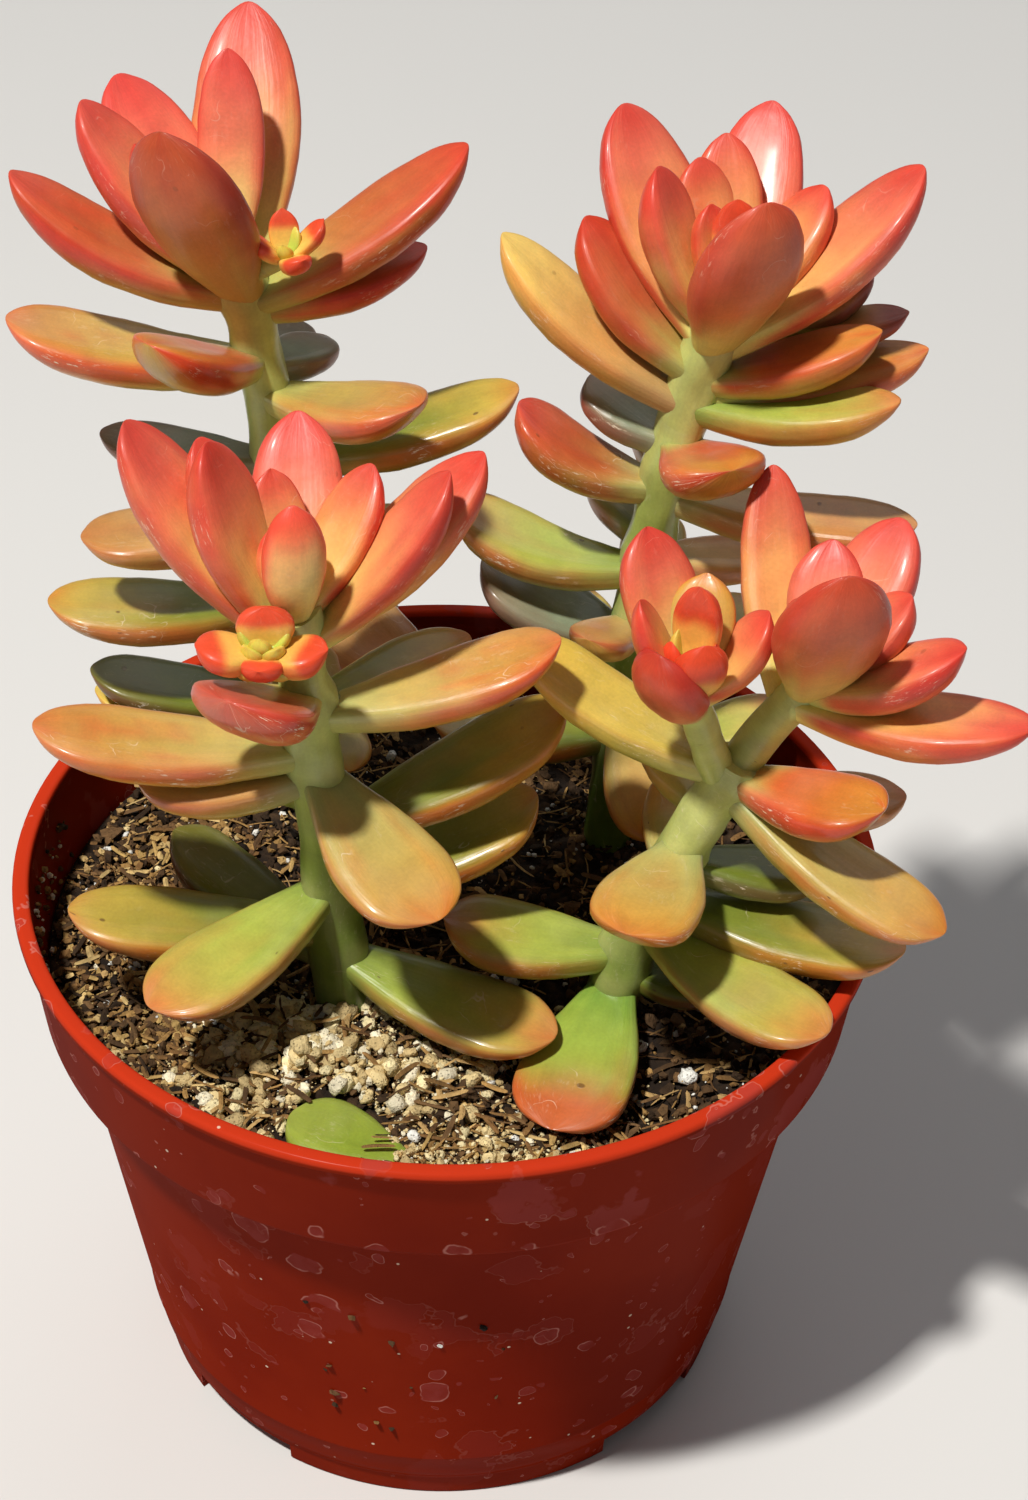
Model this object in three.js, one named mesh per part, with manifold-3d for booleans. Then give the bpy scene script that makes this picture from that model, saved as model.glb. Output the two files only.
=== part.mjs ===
// A potted coppertone stonecrop: four leafy stems that end in rosettes, in a bed of soil, in a
// round nursery pot. Millimetres, +Z up, with the origin on the pot's axis at the floor.
import * as THREE from "three";
import { mergeVertices } from "three/addons/utils/BufferGeometryUtils.js";
import Module from "manifold-3d";

const wasm = await Module();
wasm.setup();

const GAP = 0.35; // clearance between pieces that touch

// The pot, a six inch azalea pot: radii and heights of its outline
const POT_SIDES = 44;
const RIM_RADIUS = 76.2;
const RIM_HEIGHT = 108;
const LIP_DEPTH = 2.4;
const LIP_WIDTH = 3;
const COLLAR_TOP_RADIUS = 75;
const COLLAR_FOOT_RADIUS = 72.6;
const COLLAR_FOOT_HEIGHT = 85;
const BODY_TOP_RADIUS = 68;
const BODY_FOOT_RADIUS = 56;
const BODY_FOOT_HEIGHT = 7;
const POT_WALL = 1.6;
const FLOOR_UNDERSIDE = 4;
const FLOOR_THICKNESS = 2;
const FOOT_RADIUS = 54.5;
const FOOT_WIDTH = 3;
const HUB_RADIUS = 9;
const NOTCH_COUNT = 4;
const NOTCH_WIDTH = 24;
const FIRST_NOTCH_TURN = -43;
const DRAIN_RADIUS = 5;
const DRAIN_CIRCLE_RADIUS = 43;

// The soil and the stones that stand out of it
const SOIL_LEVEL = 90;
const SOIL_RINGS = [20, 38, 55];
const GRAVEL_COUNT = 16;
const GRAVEL_SIZES = [3.5, 6.5];
const GRAVEL_CENTRE = [-20, -37];
const GRAVEL_SPREAD = 10;
const DIP_CENTRE = [26, -42];
const DIP_SPREAD = 13;
const DIP_DEPTH = 4;
const PERLITE_COUNT = 10;
const PERLITE_SIZES = [2.5, 4.5];
const PERLITE_REACH = 60;
const STONE_CLEARANCE = 11; // from the middle of a stem or of the fallen leaf

// Leaves and stems as faceted solids
const LEAF_SIDES = 6;
const LEAF_RINGS = 6;
const BUD_LEAF_RINGS = 5;
const BUD_LEAF_LENGTH = 28; // leaves up to this length take fewer rings
const LEAF_THICKNESS = 0.56; // of a leaf's width, up to the greatest
const GREATEST_THICKNESS = 8;
const LEAF_UPPER_SHARE = 0.3; // of the thickness lies above the leaf's flat line
// The outline of a rosette's leaf and of a leaf along a stem: the width at the root and the place
// of the greatest, as shares, and the powers that round the swell and the tip
const POINTED = { rootWidth: 0.42, widest: 0.56, swell: 1.3, fall: 2.2, tip: 0.7 };
const BLUNT = { rootWidth: 0.36, widest: 0.66, swell: 1.4, fall: 2.6, tip: 0.7 };
const STEM_SIDES = 8;
const STEM_STEP = 9;

const radians = THREE.MathUtils.degToRad;

// One leaf: its place along the stem from 0 to 1, the bearing it points to (0 is right, 90 is
// away from the front), how steeply it rises, its length and width, how far it curves up and
// how far it rolls about its own length, all in degrees and millimetres.
function leaf(at, turn, rise, length, width, bend = 20, roll = 0) {
  return { at, turn, rise, length, width, bend, roll };
}

// A seeded random number from 0 to 1, the same on every run.
function randomSource(seed) {
  let state = seed;
  return () => {
    state = (state * 1664525 + 1013904223) % 4294967296;
    return state / 4294967296;
  };
}

// The four stems. Each curve runs from below the soil to the growing tip.
const BACK_LEFT = {
  curve: [[-23, 32, 78], [-29, 33, 130], [-28, 31, 178], [-37, 29, 214]],
  radii: [4.6, 3.2],
  cut: 0.84,
  leaves: [
    leaf(0.8, -178, 11, 42, 16, 24),
    leaf(0.8, -128, 30, 30, 15),
    leaf(0.79, 60, -12, 20, 11),
    leaf(0.76, 82, -6, 26, 11),
    leaf(0.75, -37, 17, 34, 16),
    leaf(0.66, 84, -12, 26, 11),
    leaf(0.64, 9, 15, 43, 15),
    leaf(0.64, 169, 2, 31, 12),
    leaf(0.56, -170, -4, 35, 15),
    leaf(0.5, -52, -12, 34, 18),
    leaf(0.44, 52, 0, 32, 13),
    leaf(0.42, -173, 3, 43, 16),
    leaf(0.36, 110, 2, 32, 13),
    leaf(0.3, -68, -6, 26, 12),
    leaf(0.28, 62, 6, 30, 12),
    leaf(0.26, -179, 10, 39, 14),
    leaf(0.2, 178, 14, 40, 12),
  ],
  head: [
    leaf(0.93, 90, 42, 48, 18),
    leaf(0.97, 94, 60, 33, 11),
    leaf(0.95, 132, 37, 38, 17),
    leaf(0.93, 158, 44, 38, 15),
    leaf(0.965, -165, 56, 27, 11),
    leaf(0.92, -130, 64, 38, 19, 14, 20),
    leaf(0.91, 172, 26, 42, 14, 36),
    leaf(0.9, 18, 31, 44, 16),
    leaf(0.885, 24, 9, 32, 12, 14),
  ],
};

const FRONT_LEFT = {
  curve: [[-17, -18, 78], [-20, -19, 118], [-21, -22, 150], [-25, -24, 179]],
  radii: [5, 3.6],
  cut: 0.86,
  leaves: [
    leaf(0.8, -119, 32, 26, 19),
    leaf(0.78, 40, -2, 33, 13),
    leaf(0.76, 5, 18, 42, 15),
    leaf(0.72, 96, -4, 27, 12),
    leaf(0.68, -176, 8, 45, 16),
    leaf(0.63, -52, -16, 34, 19),
    leaf(0.62, -176, -1, 29, 13),
    leaf(0.56, 128, -4, 26, 12),
    leaf(0.49, 16, 24, 45, 17),
    leaf(0.37, -140, -10, 38, 17),
    leaf(0.36, 18, 18, 38, 18),
    leaf(0.34, 85, 4, 24, 11),
    leaf(0.28, -176, 6, 45, 16),
    leaf(0.22, -24, -6, 41, 17),
    leaf(0.2, 152, 25, 36, 14),
  ],
  head: [
    leaf(0.93, 152, 46, 43, 16),
    leaf(0.97, 136, 50, 32, 12),
    leaf(0.94, 158, 66, 35, 16),
    leaf(0.97, 90, 42, 34, 15),
    leaf(0.985, 106, 56, 23, 10),
    leaf(0.975, -80, 82, 24, 10),
    leaf(0.98, 52, 44, 27, 11),
    leaf(0.92, 19, 48, 37, 13),
    leaf(0.94, 32, 34, 41, 15),
  ],
};

const BACK_RIGHT = {
  curve: [[29, 27, 78], [32, 26, 130], [31, 22, 170], [44, 18, 212]],
  radii: [4.6, 3.2],
  cut: 0.8,
  leaves: [
    leaf(0.76, -68, 20, 22, 17),
    leaf(0.76, 140, 18, 19, 13),
    leaf(0.7, 88, -2, 27, 12),
    leaf(0.69, 168, 26, 28, 14, 50),
    leaf(0.68, -12, 0, 43, 14),
    leaf(0.6, 105, -4, 27, 12),
    leaf(0.57, 22, -12, 24, 12),
    leaf(0.55, 169, 15, 35, 15, 50),
    leaf(0.48, 80, 0, 30, 12),
    leaf(0.46, -118, 22, 21, 11),
    leaf(0.42, 164, 23, 30, 18),
    leaf(0.38, 40, 2, 30, 12),
    leaf(0.34, 110, 4, 30, 12),
    leaf(0.32, -76, -24, 29, 15),
    leaf(0.26, -176, 6, 34, 13),
    leaf(0.22, 15, 12, 32, 12),
    leaf(0.18, 75, 18, 28, 11),
  ],
  head: [
    leaf(0.93, 120, 44, 41, 17),
    leaf(0.95, 152, 64, 28, 13),
    leaf(0.98, 91, 50, 28, 12),
    leaf(0.97, 108, 56, 25, 11),
    leaf(0.95, 72, 42, 39, 16),
    leaf(0.93, -68, 66, 35, 18, 14),
    leaf(0.96, 36, 42, 27, 12),
    leaf(0.92, 15, 40, 44, 17),
    leaf(0.88, 150, 44, 31, 15),
    leaf(0.83, 160, 36, 41, 15),
    leaf(0.87, -8, 22, 31, 13),
    leaf(0.85, 6, 9, 39, 14),
    leaf(0.83, -16, 11, 35, 14),
    leaf(0.99, 80, 82, 17, 8),
    leaf(0.98, 130, 72, 17, 8),
  ],
};

const FRONT_RIGHT = {
  curve: [[27, -19, 78], [30, -19, 112], [40, -21, 130], [47, -22, 149]],
  radii: [5, 4],
  leaves: [
    leaf(0.95, 158, 24, 40, 14),
    leaf(0.95, -34, 11, 28, 15),
    leaf(0.92, -32, -18, 43, 15),
    leaf(0.88, 12, -10, 33, 13),
    leaf(0.8, 105, 0, 26, 12),
    leaf(0.68, -114, 3, 27, 18),
    leaf(0.62, 4, -10, 26, 12),
    leaf(0.55, 80, 4, 26, 12),
    leaf(0.48, -14, -3, 43, 16),
    leaf(0.42, 10, -4, 30, 15),
    leaf(0.4, -46, 2, 41, 16),
    leaf(0.3, 176, 8, 32, 17),
    leaf(0.24, -20, 6, 19, 10),
    leaf(0.22, -111, -10, 34, 20),
    leaf(0.22, 60, 14, 24, 11),
  ],
};

// The two branches that the front right stem forks into, each with a rosette
const SMALL_BRANCH = {
  curve: [[45, -21, 143], [42, -23, 152], [39, -25, 160], [37, -27, 170]],
  radii: [3.2, 2.6],
  cut: 0.45,
  head: [
    leaf(0.85, 116, 51, 27, 13),
    leaf(0.9, 77, 52, 18, 11),
    leaf(0.95, 60, 84, 17, 8),
    leaf(0.85, 172, 62, 19, 9),
    leaf(0.8, 14, 53, 19, 10),
    leaf(0.75, -134, 57, 18, 13),
    leaf(0.9, -80, 62, 15, 9),
  ],
};

const LARGE_BRANCH = {
  curve: [[46, -21, 145], [50, -20, 152], [55, -19, 158], [59, -19, 166]],
  radii: [3.6, 3],
  cut: 0.42,
  head: [
    leaf(0.62, 94, 44, 40, 12),
    leaf(0.85, -83, 63, 37, 18, 14),
    leaf(0.92, 78, 48, 22, 12),
    leaf(0.88, 49, 41, 30, 15),
    leaf(0.9, 8, 45, 21, 12),
    leaf(0.94, -20, 54, 16, 9),
    leaf(0.82, -22, 31, 29, 14),
    leaf(0.72, -20, 8, 39, 15),
    leaf(0.96, -150, 74, 16, 8),
  ],
};

// Side shoots: a short stalk out of a stem's head with a small rosette of its own
const BACK_LEFT_BUD = {
  curve: [[-36, 28, 207], [-33, 26, 210], [-29, 25, 212], [-27, 24, 214]],
  radii: [1.6, 1.3],
  head: [
    leaf(0.9, 100, 70, 8, 5),
    leaf(0.9, 15, 45, 9, 5),
    leaf(0.9, -60, 25, 7, 5),
    leaf(0.9, -160, 45, 7, 5),
  ],
};

const FRONT_LEFT_BUD = {
  curve: [[-24, -24, 173], [-26, -28, 175], [-27, -31, 176], [-29, -34, 178]],
  radii: [2, 1.8],
  head: [
    leaf(0.9, -168, 14, 12, 8),
    leaf(0.9, -12, 12, 11, 8),
    leaf(0.9, 90, 84, 8, 8),
    leaf(0.9, -142, -8, 8, 6),
    leaf(0.9, -40, -8, 8, 6),
    leaf(0.9, -95, 8, 6, 5),
  ],
};

const BACK_RIGHT_SHOOT = {
  curve: [[38, 21, 192], [44, 23, 196], [50, 26, 198], [56, 27, 202]],
  radii: [2, 1.6],
  head: [
    leaf(0.9, 14, 35, 17, 9),
    leaf(0.9, -3, 12, 20, 9),
    leaf(0.9, 110, 40, 14, 8),
    leaf(0.95, 60, 60, 11, 6),
  ],
};

// The leaf that dropped on the soil at the front
const FALLEN_LEAF = { base: [-6, -58, 91], turn: 152, rise: 3, length: 22, width: 14, bend: 10, roll: 0 };

const TRUNKS = [BACK_LEFT, FRONT_LEFT, BACK_RIGHT, FRONT_RIGHT];

// A closed three.js geometry as a solid that can be joined and cut.
function toSolid(geometry) {
  const bare = new THREE.BufferGeometry().setAttribute("position", geometry.getAttribute("position"));
  bare.setIndex(geometry.getIndex());
  const merged = mergeVertices(bare, 1e-4);
  return new wasm.Manifold(
    new wasm.Mesh({
      numProp: 3,
      vertProperties: new Float32Array(merged.attributes.position.array),
      triVerts: new Uint32Array(merged.index.array),
    }),
  );
}

// The geometry of a solid, for a mesh.
function toGeometry(solid) {
  const mesh = solid.getMesh();
  const positions = new THREE.BufferAttribute(new Float32Array(mesh.vertProperties), 3);
  const geometry = new THREE.BufferGeometry().setAttribute("position", positions);
  geometry.setIndex(new THREE.BufferAttribute(new Uint32Array(mesh.triVerts), 1));
  geometry.computeVertexNormals();
  return geometry;
}

// Several solids joined into one.
function fuse(solids) {
  return solids.reduce((whole, next) => whole.add(next));
}

// Moves each vertex of a geometry to the place that a function gives for it.
function reshape(geometry, place) {
  const positions = geometry.getAttribute("position");
  const point = new THREE.Vector3();
  for (let i = 0; i < positions.count; i++) {
    const moved = place(point.fromBufferAttribute(positions, i));
    positions.setXYZ(i, moved.x, moved.y, moved.z);
  }
  return geometry;
}

// Part of a leaf's greatest width at u, where 0 is its root and 1 its tip.
function widthAt(u, { rootWidth, widest, swell, fall, tip }) {
  if (u < widest) return rootWidth + (1 - rootWidth) * Math.sin((Math.PI / 2) * (u / widest)) ** swell;
  return Math.max(0, 1 - ((u - widest) / (1 - widest)) ** fall) ** tip;
}

// Part of a leaf's greatest thickness at u.
function thicknessAt(u) {
  if (u < 0.5) return 0.62 + 0.38 * Math.sin(Math.PI * u);
  return Math.max(0, 1 - (2 * u - 1) ** 2.6) ** 0.75;
}

// Presses a sine or cosine outwards, so that a section of few sides keeps its full size.
function squared(value) {
  return Math.sign(value) * Math.abs(value) ** 0.7;
}

// A fleshy leaf: a sphere's rings strung along an arc that bends up to the tip, flat above and
// full below, with its root at base.
function leafSolid(base, { turn, rise, length, width, bend, roll }, form) {
  const rings = length > BUD_LEAF_LENGTH ? LEAF_RINGS : BUD_LEAF_RINGS;
  const a = radians(turn);
  const b = radians(rise);
  const along = new THREE.Vector3(Math.cos(b) * Math.cos(a), Math.cos(b) * Math.sin(a), Math.sin(b));
  const up = new THREE.Vector3(-Math.sin(b) * Math.cos(a), -Math.sin(b) * Math.sin(a), Math.cos(b));
  up.applyAxisAngle(along, radians(roll));
  const side = new THREE.Vector3().crossVectors(along, up);
  const arc = radians(bend);
  const radius = length / (2 * Math.sin(arc / 2));
  const thickness = Math.min(width * LEAF_THICKNESS, GREATEST_THICKNESS);
  const geometry = new THREE.SphereGeometry(1, LEAF_SIDES, rings);
  reshape(geometry, (p) => {
    const u = (1 - p.y) / 2;
    const ring = Math.max(Math.hypot(p.x, p.z), 1e-6);
    const across = squared(p.x / ring);
    const rising = squared(p.z / ring);
    const angle = arc * (u - 0.5);
    const normal = up.clone().multiplyScalar(Math.cos(angle)).addScaledVector(along, -Math.sin(angle));
    const share = rising > 0 ? LEAF_UPPER_SHARE : 1 - LEAF_UPPER_SHARE;
    return new THREE.Vector3(...base)
      .addScaledVector(along, radius * (Math.sin(angle) + Math.sin(arc / 2)))
      .addScaledVector(up, radius * (Math.cos(arc / 2) - Math.cos(angle)))
      .addScaledVector(side, (-width / 2) * widthAt(u, form) * across)
      .addScaledVector(normal, share * thickness * thicknessAt(u) * rising);
  });
  return toSolid(geometry);
}

// The curve of a stem.
function stemCurve({ curve }) {
  return new THREE.CubicBezierCurve3(...curve.map((point) => new THREE.Vector3(...point)));
}

// A tapering stem between two places on its curve, closed at both ends and grown by extra.
function stemSolid(stem, from, to, extra = 0) {
  const curve = stemCurve(stem);
  const steps = Math.max(1, Math.round(((to - from) * curve.getLength()) / STEM_STEP));
  const geometry = new THREE.CylinderGeometry(1, 1, 1, STEM_SIDES, steps);
  const across = new THREE.Vector3(1, 0, 0);
  reshape(geometry, (p) => {
    const t = THREE.MathUtils.lerp(from, to, p.y + 0.5);
    const along = curve.getTangent(t);
    const second = new THREE.Vector3().crossVectors(along, across).normalize();
    const first = new THREE.Vector3().crossVectors(second, along);
    const radius = THREE.MathUtils.lerp(stem.radii[0], stem.radii[1], t) + extra;
    return curve
      .getPoint(t)
      .addScaledVector(first, -p.x * radius)
      .addScaledVector(second, p.z * radius);
  });
  return toSolid(geometry);
}

// The leaves of a list, each rooted on its stem's curve.
function leavesOn(stem, leaves, form) {
  const curve = stemCurve(stem);
  return leaves.map((one) => leafSolid(curve.getPoint(one.at).toArray(), one, form));
}

// A stem's lower part with the leaves below its rosette.
function leafyStem(stem) {
  return fuse([stemSolid(stem, 0, stem.cut ?? 1), ...leavesOn(stem, stem.leaves, BLUNT)]);
}

// A rosette round the end of a stem, and of any shoot beside it.
function rosette(stem, shoots = []) {
  const start = stem.cut + GAP / stemCurve(stem).getLength();
  const parts = [stemSolid(stem, start, 1), ...leavesOn(stem, stem.head, POINTED)];
  for (const shoot of shoots) parts.push(stemSolid(shoot, 0, 1), ...leavesOn(shoot, shoot.head, POINTED));
  return fuse(parts);
}

// The trunk at the front right with its leaves and the lower ends of its two branches.
function forkedStem() {
  return fuse([
    leafyStem(FRONT_RIGHT),
    stemSolid(SMALL_BRANCH, 0, SMALL_BRANCH.cut),
    stemSolid(LARGE_BRANCH, 0, LARGE_BRANCH.cut),
  ]);
}

// A solid of revolution about the Z axis from points of radius and height.
function turned(points) {
  const profile = points.map(([radius, height]) => new THREE.Vector2(radius, height));
  return new THREE.LatheGeometry(profile, POT_SIDES).rotateX(Math.PI / 2);
}

// The inner wall of the pot, from its floor to just under the lip.
const INNER_WALL = [
  [BODY_FOOT_RADIUS - POT_WALL - 2, FLOOR_UNDERSIDE + FLOOR_THICKNESS],
  [BODY_FOOT_RADIUS - POT_WALL, BODY_FOOT_HEIGHT + 2],
  [BODY_TOP_RADIUS - POT_WALL, COLLAR_FOOT_HEIGHT - 1],
  [COLLAR_FOOT_RADIUS - POT_WALL, COLLAR_FOOT_HEIGHT + 1],
  [COLLAR_TOP_RADIUS - POT_WALL, RIM_HEIGHT - LIP_DEPTH],
];

// The pot, open at the top, on a foot ring with notches and drain holes.
function potSolid() {
  const lip = RIM_HEIGHT - LIP_DEPTH;
  const outline = [
    [0, 0],
    [HUB_RADIUS, 0],
    [HUB_RADIUS + 1, FLOOR_UNDERSIDE],
    [FOOT_RADIUS - FOOT_WIDTH - 0.5, FLOOR_UNDERSIDE],
    [FOOT_RADIUS - FOOT_WIDTH, 0],
    [FOOT_RADIUS, 0],
    [FOOT_RADIUS + 0.3, BODY_FOOT_HEIGHT - 2],
    [BODY_FOOT_RADIUS, BODY_FOOT_HEIGHT],
    [BODY_TOP_RADIUS, COLLAR_FOOT_HEIGHT],
    [COLLAR_FOOT_RADIUS, COLLAR_FOOT_HEIGHT],
    [COLLAR_TOP_RADIUS, lip],
    [RIM_RADIUS, lip + 0.4],
    [RIM_RADIUS, RIM_HEIGHT - 0.8],
    [RIM_RADIUS - 0.8, RIM_HEIGHT],
    [RIM_RADIUS - LIP_WIDTH + 0.6, RIM_HEIGHT],
    [RIM_RADIUS - LIP_WIDTH, RIM_HEIGHT - 0.8],
    ...INNER_WALL.slice().reverse(),
    [0, FLOOR_UNDERSIDE + FLOOR_THICKNESS],
  ];
  let pot = toSolid(turned(outline));
  for (let i = 0; i < NOTCH_COUNT; i++) {
    const turn = radians(FIRST_NOTCH_TURN + (i * 360) / NOTCH_COUNT);
    const notch = new THREE.BoxGeometry(2 * FOOT_WIDTH, NOTCH_WIDTH, FLOOR_UNDERSIDE + 2);
    notch.translate(FOOT_RADIUS - FOOT_WIDTH / 2, 0, FLOOR_UNDERSIDE / 2 - 1).rotateZ(turn);
    const drain = new THREE.CylinderGeometry(DRAIN_RADIUS, DRAIN_RADIUS, 2 * POT_WALL + FLOOR_THICKNESS, 16);
    drain.rotateX(Math.PI / 2).translate(DRAIN_CIRCLE_RADIUS, 0, FLOOR_UNDERSIDE + FLOOR_THICKNESS / 2).rotateZ(turn);
    pot = pot.subtract(toSolid(notch)).subtract(toSolid(drain));
  }
  return pot;
}

// The height of the soil at a place: low waves, a heap of gravel and a dip at the right.
function soilHeight(x, y) {
  const bump = ([centreX, centreY], spread) =>
    Math.exp(-((x - centreX) ** 2 + (y - centreY) ** 2) / (2 * spread * spread));
  const waves = 0.8 * Math.sin(0.11 * x + 1.3) * Math.cos(0.13 * y);
  return SOIL_LEVEL + waves + 2 * bump(GRAVEL_CENTRE, GRAVEL_SPREAD) - DIP_DEPTH * bump(DIP_CENTRE, DIP_SPREAD);
}

// One rough stone that sits a third deep in the soil.
function stoneSolid({ x, y, size }, random) {
  const stone = new THREE.IcosahedronGeometry(size / 2, 0);
  stone.scale(1, 0.75 + 0.3 * random(), 0.7 + 0.2 * random());
  stone.rotateX(Math.PI * random()).rotateZ(Math.PI * random());
  stone.translate(x, y, soilHeight(x, y) + size / 6);
  return toSolid(stone);
}

// Gravel heaped at the front and grains of perlite spread over the rest, clear of the stems, of
// the fallen leaf and of each other.
function stoneSolids() {
  const random = randomSource(11);
  const bell = () => random() + random() + random() - 1.5;
  const leafMiddle = [FALLEN_LEAF.base[0] - FALLEN_LEAF.length / 3, FALLEN_LEAF.base[1] + FALLEN_LEAF.length / 4];
  const kept = [leafMiddle, ...TRUNKS.map((stem) => stem.curve[0])];
  const stones = [];
  const addIfClear = (stone) => {
    const isNearStone = stones.some(({ x, y, size }) => Math.hypot(stone.x - x, stone.y - y) < (stone.size + size) / 2);
    const isNearPlant = kept.some(([x, y]) => Math.hypot(stone.x - x, stone.y - y) < STONE_CLEARANCE);
    if (!isNearStone && !isNearPlant) stones.push(stone);
  };
  while (stones.length < GRAVEL_COUNT) {
    const x = GRAVEL_CENTRE[0] + 2 * GRAVEL_SPREAD * bell();
    const y = GRAVEL_CENTRE[1] + GRAVEL_SPREAD * bell();
    addIfClear({ x, y, size: THREE.MathUtils.lerp(...GRAVEL_SIZES, random()) });
  }
  while (stones.length < GRAVEL_COUNT + PERLITE_COUNT) {
    const turn = 2 * Math.PI * random();
    const reach = PERLITE_REACH * Math.sqrt(random());
    const size = THREE.MathUtils.lerp(...PERLITE_SIZES, random());
    addIfClear({ x: reach * Math.cos(turn), y: reach * Math.sin(turn), size });
  }
  return stones.map((stone) => stoneSolid(stone, random));
}

// The bed of soil: it fills the pot, with a hole for each stem and a hollow under the fallen leaf.
function soilSolid() {
  const bottom = FLOOR_UNDERSIDE + FLOOR_THICKNESS + GAP;
  const [floor, foot, shelf, collar, lip] = INNER_WALL;
  const rise = (SOIL_LEVEL - collar[1]) / (lip[1] - collar[1]);
  const edge = THREE.MathUtils.lerp(collar[0], lip[0], rise) - GAP;
  const outline = [
    [0, bottom],
    [floor[0] - GAP, bottom],
    [foot[0] - GAP, foot[1]],
    [shelf[0] - GAP, shelf[1]],
    [collar[0] - GAP, collar[1] + GAP],
    [edge, SOIL_LEVEL],
    ...SOIL_RINGS.slice().reverse().map((radius) => [radius, SOIL_LEVEL]),
    [0, SOIL_LEVEL],
  ];
  const bed = reshape(turned(outline), (p) => {
    const inside = Math.hypot(p.x, p.y) < edge - 1;
    return p.z > SOIL_LEVEL - 1 && inside ? p.setZ(soilHeight(p.x, p.y)) : p;
  });
  let soil = fuse([toSolid(bed), ...stoneSolids()]);
  for (const stem of TRUNKS) {
    soil = soil.subtract(stemSolid(stem, 0, 0.3, GAP).translate([0, 0, -GAP]));
  }
  const hollow = { ...FALLEN_LEAF, length: FALLEN_LEAF.length + 2 * GAP, width: FALLEN_LEAF.width + 3 * GAP };
  return soil.subtract(leafSolid([FALLEN_LEAF.base[0] + GAP, FALLEN_LEAF.base[1], FALLEN_LEAF.base[2]], hollow, BLUNT));
}

const LEAF_GREEN = 0x8f9a3c;
const LEAF_CORAL = 0xd8694f;
const POT_RED = 0x8e2f1d;
const SOIL_BROWN = 0x3b2a1f;

const plant = new THREE.Group();

// Adds a named mesh of a solid to the plant.
function addPiece(name, solid, color, roughness) {
  const material = new THREE.MeshStandardMaterial({ color, roughness, metalness: 0 });
  const mesh = new THREE.Mesh(toGeometry(solid), material);
  mesh.name = name;
  plant.add(mesh);
}

addPiece("pot", potSolid(), POT_RED, 0.4);
addPiece("soil", soilSolid(), SOIL_BROWN, 1);
addPiece("leafy_stem_back_left", leafyStem(BACK_LEFT), LEAF_GREEN, 0.45);
addPiece("rosette_back_left", rosette(BACK_LEFT, [BACK_LEFT_BUD]), LEAF_CORAL, 0.35);
addPiece("leafy_stem_front_left", leafyStem(FRONT_LEFT), LEAF_GREEN, 0.45);
addPiece("rosette_front_left", rosette(FRONT_LEFT, [FRONT_LEFT_BUD]), LEAF_CORAL, 0.35);
addPiece("leafy_stem_back_right", leafyStem(BACK_RIGHT), LEAF_GREEN, 0.45);
addPiece("rosette_back_right", rosette(BACK_RIGHT, [BACK_RIGHT_SHOOT]), LEAF_CORAL, 0.35);
addPiece("forked_stem_front_right", forkedStem(), LEAF_GREEN, 0.45);
addPiece("rosette_small_front_right", rosette(SMALL_BRANCH), LEAF_CORAL, 0.35);
addPiece("rosette_large_front_right", rosette(LARGE_BRANCH), LEAF_CORAL, 0.35);
addPiece("fallen_leaf", leafSolid(FALLEN_LEAF.base, FALLEN_LEAF, BLUNT), LEAF_GREEN, 0.6);

export default plant;
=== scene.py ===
"""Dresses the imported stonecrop: pot, potting mix, stems, leaves, studio and camera.

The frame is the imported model's: +Z up, the origin on the pot's axis at the floor. Places and
lengths in the tables are millimetres and angles are degrees, and MM turns millimetres into the
metres that Blender works in.
"""

import functools
import json
import logging
import math
import random
from collections.abc import Callable, Iterable, Sequence
from dataclasses import dataclass, field
from enum import Enum

import bmesh
import bpy
from mathutils import Euler, Matrix, Vector, noise

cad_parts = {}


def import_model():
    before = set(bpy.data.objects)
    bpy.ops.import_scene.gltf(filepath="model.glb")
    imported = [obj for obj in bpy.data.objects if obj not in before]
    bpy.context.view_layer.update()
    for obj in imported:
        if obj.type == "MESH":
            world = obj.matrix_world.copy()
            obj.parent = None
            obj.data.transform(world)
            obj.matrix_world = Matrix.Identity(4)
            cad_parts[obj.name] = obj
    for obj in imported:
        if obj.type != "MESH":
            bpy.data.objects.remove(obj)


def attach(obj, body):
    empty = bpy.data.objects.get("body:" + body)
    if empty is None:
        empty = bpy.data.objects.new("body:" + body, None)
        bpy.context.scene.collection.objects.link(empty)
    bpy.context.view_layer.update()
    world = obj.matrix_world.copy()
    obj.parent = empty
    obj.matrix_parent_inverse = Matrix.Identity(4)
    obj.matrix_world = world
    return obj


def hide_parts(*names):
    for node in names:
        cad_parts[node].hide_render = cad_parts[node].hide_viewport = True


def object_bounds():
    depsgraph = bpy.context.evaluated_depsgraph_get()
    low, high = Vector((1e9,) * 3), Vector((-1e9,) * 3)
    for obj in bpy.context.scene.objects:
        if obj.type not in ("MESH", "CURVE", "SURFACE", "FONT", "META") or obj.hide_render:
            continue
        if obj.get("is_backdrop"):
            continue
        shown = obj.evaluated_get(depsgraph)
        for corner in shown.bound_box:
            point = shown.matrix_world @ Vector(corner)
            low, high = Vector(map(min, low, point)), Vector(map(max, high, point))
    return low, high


log = logging.getLogger("stonecrop")

MM = 0.001
BODY = "root"

Colour = tuple[float, float, float]
Triple = tuple[float, float, float]
Pair = tuple[float, float]
Span = tuple[float, float, float, float]
Socket = bpy.types.NodeSocket

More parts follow.
